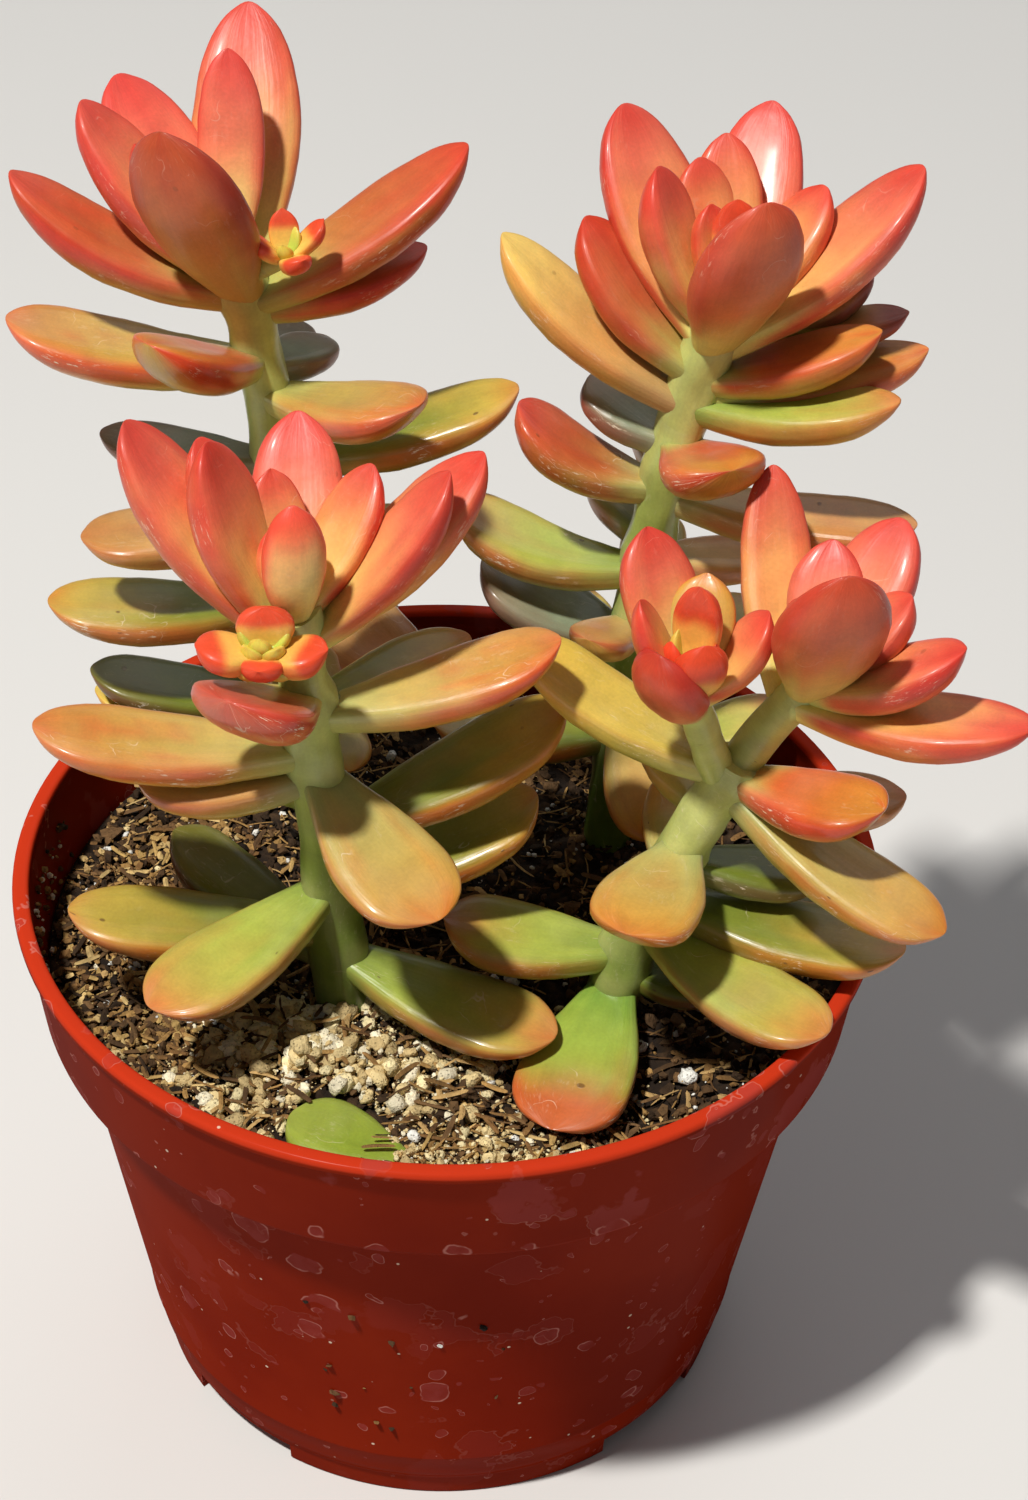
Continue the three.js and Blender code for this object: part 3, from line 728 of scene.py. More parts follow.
@dataclass(frozen=True)
class LivingSkin:
    """The fine marks of living skin over a leaf's own colour.

    Each scale is that of a noise over metres, so that a greater one draws a finer pattern. Each
    pair is where a noise starts to show and where it shows fully.
    """

    fibre_stretch: Triple = (0.07, 1, 1)
    fibre_scale: float = 900
    fibre_share: float = 0.4
    cloud_scale: float = 130
    cloud_share: float = 0.9
    tone_middle: float = 0.65
    tone_strength: float = 2
    grain_scale: float = 1900
    grain_share: float = 0.14
    film_scale: float = 60
    film_fade: Pair = (0.42, 0.75)
    film: Colour = paint(214, 206, 184)
    spot_scale: float = 210
    spot_choice: Pair = (0.9, 0.93)
    spot_edge: Pair = (0.13, 0.07)
    spot: Colour = paint(96, 62, 34)
    scuff_stretch: Triple = (0.35, 1, 1)
    scuff_scale: float = 1300
    scuff_fade: Pair = (0.56, 0.66)
    scuff: Colour = paint(240, 226, 200)
    patch_scale: float = 95
    patch_fade: Pair = (0.5, 0.62)
    ridge_fade: Span = (0.25, 0.9, 0.12, 1)
    line_scale: float = 105
    line_middle: float = 0.52
    line_edge: Pair = (0.0045, 0.001)
    line_share: float = 0.4
    break_scale: float = 260
    break_fade: Pair = (0.46, 0.56)
    dull_share: float = 0.5
    dull_clouds: float = 0.12
    fibre_height: float = 0.35
    spot_depth: float = 0.4

    def group(self) -> bpy.types.NodeTree:
        """Builds the shader group.

        Returns:
            A group with streaks along the leaf, a pale bloom, freckles and scuffs on the ridges.
        """
        inputs = {
            "Skin": (COLOUR, None),
            "Ridge": (FLOAT, 0.0),
            "Place": (VECTOR, None),
            "Streaks": (FLOAT, 0.1),
            "Bloom": (FLOAT, 0.1),
            "Freckles": (FLOAT, 0.5),
            "Scuffs": (FLOAT, 0.5),
            "Gloss": (FLOAT, 0.3),
        }
        group, nodes, given, result = new_group(
            "living skin", inputs, {"Color": COLOUR, "Roughness": FLOAT, "Height": FLOAT}
        )
        place = given["Place"]
        fibre = nodes.noise(nodes.stretched(place, self.fibre_stretch), self.fibre_scale, 3)
        cloud = nodes.noise(place, self.cloud_scale, 4)
        tone = nodes.plus(nodes.times(fibre, self.fibre_share), nodes.times(cloud, self.cloud_share))
        tone = nodes.times(nodes.minus(tone, self.tone_middle), given["Streaks"])
        grain = nodes.minus(nodes.noise(place, self.grain_scale, 3), 0.5)
        tone = nodes.plus(tone, nodes.times(grain, self.grain_share))
        value = nodes.plus(1.0, nodes.times(tone, self.tone_strength))
        lit = nodes.add("ShaderNodeHueSaturation", {"Value": value, "Color": given["Skin"]})
        film = nodes.ramp(nodes.noise(place, self.film_scale, 3), *self.film_fade)
        film = nodes.times(film, given["Bloom"])
        skin = nodes.mix(film, lit.outputs[0], self.film)
        cells = nodes.cells(place, self.spot_scale)
        chosen = nodes.ramp(nodes.drawn(cells).outputs[0], *self.spot_choice)
        dot = nodes.times(nodes.ramp(cells.outputs["Distance"], *self.spot_edge), chosen)
        dot = nodes.times(dot, given["Freckles"])
        skin = nodes.mix(dot, skin, self.spot)
        scuff = self.scuffs(nodes, place, given["Ridge"], given["Scuffs"])
        skin = nodes.mix(scuff, skin, self.scuff)
        rough = nodes.plus(given["Gloss"], nodes.times(nodes.plus(film, scuff), self.dull_share))
        rough = nodes.plus(rough, nodes.times(nodes.minus(cloud, 0.5), self.dull_clouds))
        height = nodes.plus(nodes.times(fibre, self.fibre_height), nodes.times(cloud, self.cloud_share))
        height = nodes.minus(height, nodes.times(dot, self.spot_depth))
        nodes.feed(result, {"Color": skin, "Roughness": rough, "Height": height})
        return group

    def scuffs(self, nodes: Nodes, place: object, ridge: object, amount: object) -> Socket:
        """Draws pale scuffs on the ridges and fine winding scratches, both in patches.

        Args:
            nodes: The group's nodes helper.
            place: Where the skin is.
            ridge: The share of ridge there.
            amount: How strongly the scuffs show.

        Returns:
            The share of scuff at the place.
        """
        stretched = nodes.stretched(place, self.scuff_stretch)
        crumbs = nodes.ramp(nodes.noise(stretched, self.scuff_scale, 3, 0.7), *self.scuff_fade)
        patch = nodes.ramp(nodes.noise(place, self.patch_scale, 2), *self.patch_fade)
        scuff = nodes.times(nodes.times(crumbs, patch), nodes.ramp(ridge, *self.ridge_fade))
        winding = nodes.minus(nodes.noise(place, self.line_scale, 3, 0.35), self.line_middle)
        line = nodes.ramp(nodes.math("ABSOLUTE", winding), *self.line_edge)
        broken = nodes.ramp(nodes.noise(place, self.break_scale, 2), *self.break_fade)
        line = nodes.times(nodes.times(nodes.times(line, broken), patch), self.line_share)
        return nodes.times(nodes.greater(scuff, line), amount)


@dataclass(frozen=True)
class DriedDrops:
    """Drops of hard water that dried on a wall: each a film with a pale rim.

    Reaches and widths are shares of the distance between neighbouring drops.
    """

    wander_scale: float = 90
    wander: float = 0.009
    film_edge: Pair = (0.0, 0.02)
    rim_place: float = 0.012
    rim_edge: Pair = (0.02, 0.004)
    break_scale: float = 240
    break_fade: Pair = (0.4, 0.55)
    patch_scale: float = 300
    patch_fade: Span = (0.25, 0.7, 0.35, 1)

    def group(self) -> bpy.types.NodeTree:
        """Builds the shader group.

        Returns:
            A group that puts out a film mask and a rim mask.
        """
        inputs = {
            "Place": (VECTOR, None),
            "Cells": (FLOAT, 45.0),
            "Chosen": (FLOAT, 0.5),
            "Least": (FLOAT, 0.06),
            "Most": (FLOAT, 0.3),
        }
        group, nodes, given, result = new_group("dried drops", inputs, {"Film": FLOAT, "Rim": FLOAT})
        place = given["Place"]
        cells = nodes.cells(self.shifted(nodes, place), given["Cells"])
        drawn = nodes.drawn(cells)
        span = nodes.minus(given["Most"], given["Least"])
        reach = nodes.plus(given["Least"], nodes.times(drawn.outputs[0], span))
        present = nodes.math("LESS_THAN", drawn.outputs[1], given["Chosen"])
        inside = nodes.minus(reach, cells.outputs["Distance"])
        film = nodes.times(nodes.ramp(inside, *self.film_edge), present)
        from_rim = nodes.math("ABSOLUTE", nodes.minus(inside, self.rim_place))
        line = nodes.ramp(from_rim, *self.rim_edge)
        broken = nodes.ramp(nodes.noise(place, self.break_scale, 2), *self.break_fade)
        rim = nodes.times(nodes.times(line, present), broken)
        patchy = nodes.ramp(nodes.noise(place, self.patch_scale, 3), *self.patch_fade)
        nodes.feed(result, {"Film": nodes.times(film, patchy), "Rim": rim})
        return group

    def shifted(self, nodes: Nodes, place: object) -> Socket:
        """Moves each place by a slow noise, which makes the drops uneven.

        Args:
            nodes: The group's nodes helper.
            place: The place on the wall.

        Returns:
            The moved place.
        """
        noise_inputs = {"Vector": place, "Scale": self.wander_scale, "Detail": 3.0}
        wander = nodes.add("ShaderNodeTexNoise", noise_inputs).outputs["Color"]
        centred = nodes.add("ShaderNodeVectorMath", {0: wander, 1: (0.5, 0.5, 0.5)}, operation="SUBTRACT")
        shift_inputs = {0: centred.outputs[0], "Scale": self.wander}
        shift = nodes.add("ShaderNodeVectorMath", shift_inputs, operation="SCALE")
        moved = nodes.add("ShaderNodeVectorMath", {0: place, 1: shift.outputs[0]}, operation="ADD")
        return moved.outputs[0]


def new_material(name: str) -> tuple[bpy.types.Material, Nodes, bpy.types.Node]:
    """Starts a material with an empty Principled shader.

    Args:
        name: The material's name.

    Returns:
        The material, its nodes helper and its Principled shader.
    """
    material = bpy.data.materials.new(name)
    material.use_nodes = True
    nodes = Nodes(material.node_tree)
    return material, nodes, material.node_tree.nodes["Principled BSDF"]


@dataclass(frozen=True)
class Relief:
    """How far a material's height stands out: its depth in metres and how much of it shows."""

    depth: float
    share: float = 1

    def dress(self, nodes: Nodes, shader: bpy.types.Node, height: Socket) -> None:
        """Feeds a height of about 0 to 1 into a shader's normal."""
        inputs = {"Height": height, "Distance": self.depth, "Strength": self.share}
        nodes.feed(shader, {"Normal": nodes.add("ShaderNodeBump", inputs).outputs[0]})


@dataclass(frozen=True)
class LeafFinish:
    """The waxy skin of leaves and stems, whose colour the mesh carries."""

    name: str
    group: bpy.types.NodeTree
    streaks: float
    bloom: float
    freckles: float
    scuffs: float
    gloss: float
    flesh: float
    coat: float
    shine: float = 0.5
    refraction: float = 1.45
    flesh_radius: Triple = (1.0, 0.45, 0.2)
    flesh_depth: float = 0.004
    coat_roughness: float = 0.14
    relief: Relief = Relief(0.0004, 0.55)

    def material(self) -> bpy.types.Material:
        """Builds the material.

        Returns:
            A material that reads the mesh's skin and leaf_place attributes.
        """
        material, nodes, shader = new_material(self.name)
        skin = nodes.add("ShaderNodeAttribute", attribute_name="skin")
        place = nodes.add("ShaderNodeAttribute", attribute_name="leaf_place")
        values = {
            "Skin": skin.outputs["Color"],
            "Ridge": skin.outputs["Alpha"],
            "Place": place.outputs["Vector"],
            "Streaks": self.streaks,
            "Bloom": self.bloom,
            "Freckles": self.freckles,
            "Scuffs": self.scuffs,
            "Gloss": self.gloss,
        }
        living = nodes.add("ShaderNodeGroup", values, node_tree=self.group)
        look = {
            "Base Color": living.outputs["Color"],
            "Roughness": living.outputs["Roughness"],
            "IOR": self.refraction,
            "Specular IOR Level": self.shine,
            "Subsurface Weight": self.flesh,
            "Subsurface Radius": self.flesh_radius,
            "Subsurface Scale": self.flesh_depth,
            "Coat Weight": self.coat,
            "Coat Roughness": self.coat_roughness,
        }
        nodes.feed(shader, look)
        self.relief.dress(nodes, shader, living.outputs["Height"])
        return material


@dataclass(frozen=True)
class PlasticFinish:
    """Red brown moulded plastic with dried drops of water.

    Heights are metres above the floor, scales are those of noises over metres, and each pair is
    where a noise starts to show and where it shows fully.
    """

    drops: bpy.types.NodeTree
    name: str = "nursery pot plastic"
    colour: Colour = paint(128, 33, 10)
    deep: Colour = paint(116, 26, 7)
    cloud_scale: float = 22
    cloud_fade: Pair = (0.35, 0.65)
    # Painted sunlight: a lighter copy of the plastic's red, given to the top of the lip where the sun
    # falls on it.
    lip: Colour = paint(192, 54, 27)
    sunlit_lip_height: float = 0.1072
    sunlit_lip_fade: float = 0.0006
    film: Colour = paint(156, 76, 76)
    film_share: float = 0.3
    rim: Colour = paint(214, 150, 138)
    rim_share: float = 0.36
    drop_sizes: tuple[Span, ...] = (
        (95, 0.55, 0.1, 0.36),
        (190, 0.3, 0.08, 0.36),
        (420, 0.12, 0.05, 0.3),
    )
    cover_scale: float = 62
    cover_fade: Pair = (0.58, 0.61)
    cover_heights: Span = (0.080, 0.094, 0.25, 1)
    contour: float = 0.585
    contour_edge: Pair = (0.009, 0.002)
    contour_fade: Pair = (0.4, 0.6)
    speck: Colour = paint(226, 204, 180)
    speck_scale: float = 420
    speck_edge: Pair = (0.16, 0.1)
    speck_choice: Pair = (0.955, 0.965)
    speck_share: float = 0.8
    line_stretch: Triple = (1, 1, 0.04)
    line_scale: float = 700
    line_height: float = 0.02
    wave_scale: float = 60
    wave_height: float = 0.8
    rim_height: float = 0.2
    roughness: float = 0.3
    film_roughness: float = 0.22
    line_roughness: float = 0.16
    coat: float = 0.06
    coat_roughness: float = 0.22
    relief: Relief = Relief(0.0002, 0.6)

    def material(self) -> bpy.types.Material:
        """Builds the material.

        Returns:
            A semi-gloss plastic with a faint mottle, painted sunlight on top of the lip, water marks and
            fine scratches.
        """
        material, nodes, shader = new_material(self.name)
        place = nodes.add("ShaderNodeTexCoord").outputs["Object"]
        cloud = nodes.noise(place, self.cloud_scale, 4)
        colour = nodes.mix(nodes.ramp(cloud, *self.cloud_fade), self.colour, self.deep)
        height = nodes.add("ShaderNodeSeparateXYZ", {"Vector": place}).outputs[2]
        # Painted sunlight: above this height the plastic turns to the lighter lip red.
        lip = nodes.ramp(height, self.sunlit_lip_height - self.sunlit_lip_fade, self.sunlit_lip_height)
        colour = nodes.mix(lip, colour, self.lip)
        film, rim = self.marks(nodes, place, height, cloud)
        colour = nodes.mix(nodes.times(film, self.film_share), colour, self.film)
        colour = nodes.mix(nodes.times(rim, self.rim_share), colour, self.rim)
        cells = nodes.cells(place, self.speck_scale)
        speck = nodes.ramp(cells.outputs["Distance"], *self.speck_edge)
        speck = nodes.times(speck, nodes.ramp(nodes.drawn(cells).outputs[0], *self.speck_choice))
        colour = nodes.mix(nodes.times(speck, self.speck_share), colour, self.speck)
        lines = nodes.noise(nodes.stretched(place, self.line_stretch), self.line_scale, 2)
        rough = nodes.plus(self.roughness, nodes.times(film, self.film_roughness))
        rough = nodes.plus(rough, nodes.times(nodes.minus(lines, 0.5), self.line_roughness))
        look = {
            "Base Color": colour,
            "Roughness": rough,
            "Specular IOR Level": 0.0,
            "Coat Weight": self.coat,
            "Coat Roughness": self.coat_roughness,
        }
        nodes.feed(shader, look)
        raised = nodes.plus(nodes.times(rim, self.rim_height), nodes.times(lines, self.line_height))
        waves = nodes.times(nodes.noise(place, self.wave_scale, 3), self.wave_height)
        self.relief.dress(nodes, shader, nodes.plus(raised, waves))
        return material

    def marks(self, nodes: Nodes, place: object, height: object, cloud: object) -> tuple[Socket, Socket]:
        """Draws the dried drops of three sizes and the run of film under the lip.

        Args:
            nodes: The material's nodes helper.
            place: The place on the wall.
            height: Its height.
            cloud: The mottle there, which breaks up the edge of the film.

        Returns:
            The share of film and the share of rim at the place.
        """
        films: list[Socket] = []
        rims: list[Socket] = []
        for cells, chosen, least, most in self.drop_sizes:
            values = {"Place": place, "Cells": cells, "Chosen": chosen, "Least": least, "Most": most}
            drops = nodes.add("ShaderNodeGroup", values, node_tree=self.drops)
            films.append(drops.outputs["Film"])
            rims.append(drops.outputs["Rim"])
        film = functools.reduce(nodes.greater, films)
        rim = functools.reduce(nodes.greater, rims)
        cover = nodes.noise(place, self.cover_scale, 4, 0.55)
        high = nodes.ramp(height, *self.cover_heights)
        film = nodes.greater(film, nodes.times(nodes.ramp(cover, *self.cover_fade), high))
        contour = nodes.math("ABSOLUTE", nodes.minus(cover, self.contour))
        line = nodes.times(nodes.ramp(contour, *self.contour_edge), high)
        line = nodes.times(line, nodes.ramp(cloud, *self.contour_fade))
        return film, nodes.greater(rim, line)


@dataclass(frozen=True)
class GritFinish:
    """Dull grains whose colour the mesh carries: peat, bark, perlite, gravel and dust."""

    name: str
    mottle: float
    pits: float
    grain: float
    pit_scale: float = 1.6
    pit_edge: Pair = (0.32, 0.12)
    # Pits are pressed in by the bump and tinted this dull brown, which on the paler grains is painted
    # shade in the hollows.
    pit: Colour = paint(70, 52, 34)
    roughness: float = 0.9
    shine: float = 0.25
    relief: Relief = Relief(0.0007)

    def material(self) -> bpy.types.Material:
        """Builds the material.

        Returns:
            A rough material with a mottle and small pits, whose dull brown tint is painted shade in the
            hollows on the paler grains.
        """
        material, nodes, shader = new_material(self.name)
        skin = nodes.add("ShaderNodeAttribute", attribute_name="skin")
        place = nodes.add("ShaderNodeTexCoord").outputs["Object"]
        cloud = nodes.noise(place, self.grain, 4, 0.6)
        value = nodes.plus(1.0, nodes.times(nodes.minus(cloud, 0.5), 2 * self.mottle))
        tone = nodes.add("ShaderNodeHueSaturation", {"Value": value, "Color": skin.outputs["Color"]})
        # Painted shade: the pits are tinted towards the pit colour where the bump presses them in.
        cells = nodes.cells(place, self.pit_scale * self.grain)
        pits = nodes.times(nodes.ramp(cells.outputs["Distance"], *self.pit_edge), self.pits)
        colour = nodes.mix(pits, tone.outputs[0], self.pit)
        look = {"Base Color": colour, "Roughness": self.roughness, "Specular IOR Level": self.shine}
        nodes.feed(shader, look)
        self.relief.dress(nodes, shader, nodes.minus(cloud, pits))
        return material


def new_piece(
    name: str, mesh: bmesh.types.BMesh, material: bpy.types.Material, smoothed: bool = True
) -> bpy.types.Object:
    """Turns a finished bmesh into an object of the part.

    Args:
        name: The piece's name.
        mesh: The bmesh, which is freed here.
        material: The piece's material.
        smoothed: Whether its faces are shaded as one curved surface.

    Returns:
        The new object, which rides on the part's body.
    """
    data = bpy.data.meshes.new(name)
    mesh.to_mesh(data)
    mesh.free()
    data.polygons.foreach_set("use_smooth", [smoothed] * len(data.polygons))
    data.materials.append(material)
    piece = bpy.data.objects.new(name, data)
    bpy.context.scene.collection.objects.link(piece)
    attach(piece, BODY)
    log.info("%s: %d faces", name, len(data.polygons))
    return piece


class SkinMesh:
    """A bmesh whose points carry a colour and a place on their leaf or stem."""

    def __init__(self) -> None:
        """Starts an empty mesh with its two layers."""
        self.mesh = bmesh.new()
        self.skin = self.mesh.verts.layers.float_color.new("skin")
        self.place = self.mesh.verts.layers.float_vector.new("leaf_place")

    def paint(self, point: bmesh.types.BMVert, colour: Colour, ridge: float, place: Vector) -> None:
        """Gives one point its colour, its share of ridge and its place."""
        point[self.skin] = (*colour, ridge)
        point[self.place] = place


@dataclass(frozen=True)
class Bend:
    """The curved midline of one leaf: its root, its directions, its arc and the arc's radius."""

    base: Vector
    direction: Vector
    upward: Vector
    side: Vector
    arc: float
    radius: float

    @classmethod
    def of(cls, leaf: Leaf, base: Vector) -> "Bend":
        """Works out the midline of a leaf.

        Args:
            leaf: The leaf's bearing, rise, bend and roll.
            base: Its root, in millimetres.

        Returns:
            The leaf's midline.
        """
        turn, rise = math.radians(leaf.turn), math.radians(leaf.rise)
        level, climb = math.cos(rise), math.sin(rise)
        direction = Vector((level * math.cos(turn), level * math.sin(turn), climb))
        upward = Vector((-climb * math.cos(turn), -climb * math.sin(turn), level))
        upward.rotate(Matrix.Rotation(math.radians(leaf.roll), 3, direction))
        arc = math.radians(leaf.bend)
        radius = leaf.length / (2 * math.sin(arc / 2))
        return cls(base, direction, upward, direction.cross(upward), arc, radius)

    def at(self, along: float) -> tuple[Vector, Vector, Vector]:
        """Gives the midline at a share of the leaf's length.

        Args:
            along: 0 at the root and 1 at the tip.

        Returns:
            The place in millimetres, the direction in which the leaf runs there and its normal.
        """
        angle, half = self.arc * (along - 0.5), self.arc / 2
        forward = self.direction * math.cos(angle) + self.upward * math.sin(angle)
        normal = self.upward * math.cos(angle) - self.direction * math.sin(angle)
        run = self.direction * (self.radius * (math.sin(angle) + math.sin(half)))
        climb = self.upward * (self.radius * (math.cos(half) - math.cos(angle)))
        return self.base + run + climb, forward, normal


@dataclass(frozen=True)
class LeafShape:
    """The form that every leaf shares, as shares of its length, width and thickness.

    Lengths and thicknesses of their own are in millimetres. The waves are how many noise cells
    fall on a millimetre.
    """

    widest: float = 0.56
    root_width: float = 0.42
    swell: float = 1.3
    fall: float = 2.2
    tip: float = 0.56
    sides: int = 28
    rings: int = 36
    small_leaf: float = 14
    small_detail: float = 0.6
    thickness: float = 0.56
    greatest_thickness: float = 8
    root_thickness: float = 0.62
    thin_fall: float = 2.6
    thin_tip: float = 0.75
    upper_share: float = 0.3
    upper_power: float = 0.72
    lower_power: float = 0.88
    groove: float = 0.2
    groove_width: float = 0.5
    nub: float = 0.25
    nub_length: float = 0.012
    unevenness: float = 0.3
    dent_waves: Pair = (0.13, 0.4)
    small_dents: float = 0.35
    dent_start: Pair = (0.05, 0.3)
    blush_waves: Triple = (0.05, 0.13, 0.09)
    fine_waves: Triple = (1.6, 5, 5)
    cloud_waves: float = 0.22
    cloud_share: float = 0.4
    fine_share: float = 0.22
    wander: float = 1.3
    shade_waves: float = 0.5
    shade: float = 0.1
    ridge_start: Pair = (0.1, 0.4)
    own_step: Triple = (3.7, 1.3, 2.1)
    own_length: float = 97
    pole: float = 1e-4
    core: float = 1e-3

    def width_at(self, along: float) -> float:
        """Gives the part of the greatest width at a share of the length.

        Args:
            along: 0 at the root and 1 at the tip.

        Returns:
            The part of the width, 0 to 1.
        """
        if along < self.widest:
            share = math.sin(math.pi / 2 * along / self.widest) ** self.swell
            return self.root_width + (1 - self.root_width) * share
        return max(0.0, 1 - ((along - self.widest) / (1 - self.widest)) ** self.fall) ** self.tip

    def thickness_at(self, along: float) -> float:
        """Gives the part of the greatest thickness at a share of the length.

        Args:
            along: 0 at the root and 1 at the tip.

        Returns:
            The part of the thickness, 0 to 1.
        """
        if along < 0.5:
            return self.root_thickness + (1 - self.root_thickness) * math.sin(math.pi * along)
        return max(0.0, 1 - (2 * along - 1) ** self.thin_fall) ** self.thin_tip

    def section(self, across: float, face: float) -> Pair:
        """Presses a round section flat above and full below.

        Args:
            across: The cosine of the turn round the section.
            face: The sine of the turn round the section.

        Returns:
            The share of the half width and the share of the height above or below the margins.
        """
        power = self.upper_power if face > 0 else self.lower_power
        out = math.copysign(abs(across) ** power, across)
        rise = math.copysign(abs(face) ** power, face)
        if face > 0:
            rise *= 1 - self.groove * math.exp(-((out / self.groove_width) ** 2))
        return out, rise

    def drift(self, local: Triple, place: Vector, own: Vector) -> float:
        """Draws the slow noise that makes the borders of the colours uneven.

        Args:
            local: The point's place along, across and above the leaf, in millimetres.
            place: Its place in the model, in millimetres.
            own: The leaf's own shift of the noise.

        Returns:
            A value of about -1 to 1.
        """
        drawn = scaled(local, self.blush_waves)
        fine = scaled(drawn, self.fine_waves)
        slow = noise.noise(drawn + own)
        cloud = self.cloud_share * noise.noise(place * self.cloud_waves + own)
        return (slow + cloud + self.fine_share * noise.noise(fine + own)) * self.wander

    def dent(self, place: Vector, own: Vector, along: float) -> float:
        """Draws how far a point is pushed out or in, in millimetres."""
        coarse, small = (noise.noise(place * waves + own) for waves in self.dent_waves)
        return (coarse + self.small_dents * small) * (self.unevenness * smooth(*self.dent_start, along))

    def add(self, skin_mesh: SkinMesh, leaf: Leaf, base: Vector, seed: int) -> None:
        """Adds one leaf to a mesh.

        Args:
            skin_mesh: The mesh to add to.
            leaf: The leaf's place, size and colours.
            base: Its root, in millimetres.
            seed: A number that sets this leaf's own unevenness.
        """
        midline = Bend.of(leaf, base)
        thickness = min(leaf.width * self.thickness, self.greatest_thickness)
        own = scaled(self.own_step, (seed, seed, seed))
        detail = 1 if leaf.length > self.small_leaf else self.small_detail
        made = bmesh.ops.create_uvsphere(
            skin_mesh.mesh,
            u_segments=round(self.sides * detail),
            v_segments=round(self.rings * detail),
            radius=1,
        )
        for point in made["verts"]:
            along = (1 - point.co.z) / 2
            ring = max(math.hypot(point.co.x, point.co.y), TINY)
            across, face = point.co.x / ring, point.co.y / ring
            if ring < self.pole:
                across = face = 0.0
            out, up = self.section(across, face)
            share = self.upper_share if face > 0 else 1 - self.upper_share
            place, forward, normal = midline.at(along)
            place += forward * (self.nub * math.exp(-(((1 - along) / self.nub_length) ** 2)))
            reach = midline.side * (-leaf.width / 2 * self.width_at(along) * out)
            reach += normal * (share * thickness * self.thickness_at(along) * up)
            place += reach
            push = self.dent(place, own, along)
            if reach.length > self.core:
                place += reach.normalized() * push
            local = (along * leaf.length, across * leaf.width, face * leaf.width)
            colour, ridge = leaf.tone.value.at(along, across, face, self.drift(local, place, own))
            tone = 1 + self.shade * noise.noise(place * self.shade_waves + own)
            flat = Vector((local[0] + seed * self.own_length, local[1] / 2, local[2] / 2)) * MM
            ridge *= smooth(*self.ridge_start, along)
            skin_mesh.paint(point, tinted(colour, tone), ridge, flat)
            point.co = place * MM


@dataclass(frozen=True)
class StemSkin:
    """The look of a stem from the soil to its tip.

    Swells, scars and their lengths are in millimetres, and heights are shares of the stem's own.
    """

    low: Colour = paint(96, 122, 40)
    middle: Colour = paint(136, 158, 66)
    high: Colour = paint(190, 196, 112)
    scar: Colour = paint(196, 188, 128)
    middle_fade: Pair = (0.48, 0.72)
    high_fade: Pair = (0.68, 0.95)
    sides: int = 28
    steps_per_mm: float = 0.7
    fewest_rings: int = 8
    nominal_length: float = 110
    swell: float = 0.9
    swell_place: float = 1
    swell_length: float = 5
    most_swell: float = 1.2
    scar_share: float = 0.5
    scar_place: float = 1.5
    scar_length: float = 3.5
    wobble: float = 0.35
    wobble_waves: float = 0.16
    wobble_turns: float = 0.9
    shade: float = 0.18
    shade_waves: float = 0.35
    own_length: float = 31
    ridge: float = 0.2
    pole: float = 1e-4

    def marks(self, stem: Stem, at: float, outward: Vector) -> Pair:
        """Works out how the stem swells and scars under its leaves.

        Args:
            stem: The stem.
            at: The place on its curve, as a share.
            outward: The direction from its middle to the point.

        Returns:
            The swell in millimetres and the share of scar.
        """
        swell, scar = 0.0, 0.0
        for leaf in (*stem.leaves, *stem.head):
            turn = math.radians(leaf.turn)
            gap = (at - leaf.at) * self.nominal_length
            facing = max(0.0, outward.dot(Vector((math.cos(turn), math.sin(turn), 0))))
            near = math.exp(-(((gap - self.swell_place) / self.swell_length) ** 2))
            swell += self.swell * facing**2 * near
            under = math.exp(-(((gap - self.scar_place) / self.scar_length) ** 2))
            scar = max(scar, facing**3 * under)
        return min(swell, self.most_swell), scar

    def colour(self, height: float, scar: float) -> Colour:
        """Gives the colour of the stem.

        Args:
            height: The share of the stem's height.
            scar: The share of scar.

        Returns:
            The colour.
        """
        colour = blend(self.low, self.middle, smooth(*self.middle_fade, height))
        colour = blend(colour, self.high, smooth(*self.high_fade, height))
        return blend(colour, self.scar, self.scar_share * scar)

    def add(self, skin_mesh: SkinMesh, stem: Stem, start: float, end: float) -> None:
        """Adds a stretch of stem to a mesh.

        Args:
            skin_mesh: The mesh to add to.
            stem: The stem, which swells where its leaves root.
            start: Where the stretch starts on its curve.
            end: Where it ends.
        """
        reach = (stem.point(end) - stem.point(start)).length
        rings = max(self.fewest_rings, round(reach * self.steps_per_mm) + 2)
        made = bmesh.ops.create_uvsphere(skin_mesh.mesh, u_segments=self.sides, v_segments=rings, radius=1)
        top = stem.curve[3][2]
        seed = stem.curve[0][0]
        for point in made["verts"]:
            ring = math.hypot(point.co.x, point.co.y)
            around = Vector((point.co.x, point.co.y, 0)) / max(ring, self.pole)
            step = math.acos(max(-1.0, min(1.0, -point.co.z))) / math.pi * rings
            at = start + (end - start) * min(max((step - 1) / (rings - 2), 0.0), 1.0)
            along = stem.tangent(at)
            second = along.cross(Vector((1, 0, 0))).normalized()
            first = second.cross(along)
            centre = stem.point(at)
            outward = first * -around.x + second * around.y
            swell, scar = self.marks(stem, at, outward)
            uneven = centre * self.wobble_waves + outward * self.wobble_turns + Vector((seed, 0, 0))
            radius = stem.radius(at) + swell + self.wobble * noise.noise(uneven)
            place = centre if ring < self.pole else centre + outward * radius
            tone = 1 + self.shade * noise.noise(place * self.shade_waves)
            colour = tinted(self.colour(place.z / top, scar), tone)
            shift = at * self.nominal_length + seed * self.own_length
            flat = Vector((shift, around.x * radius, around.y * radius)) * MM
            skin_mesh.paint(point, colour, self.ridge, flat)
            point.co = place * MM


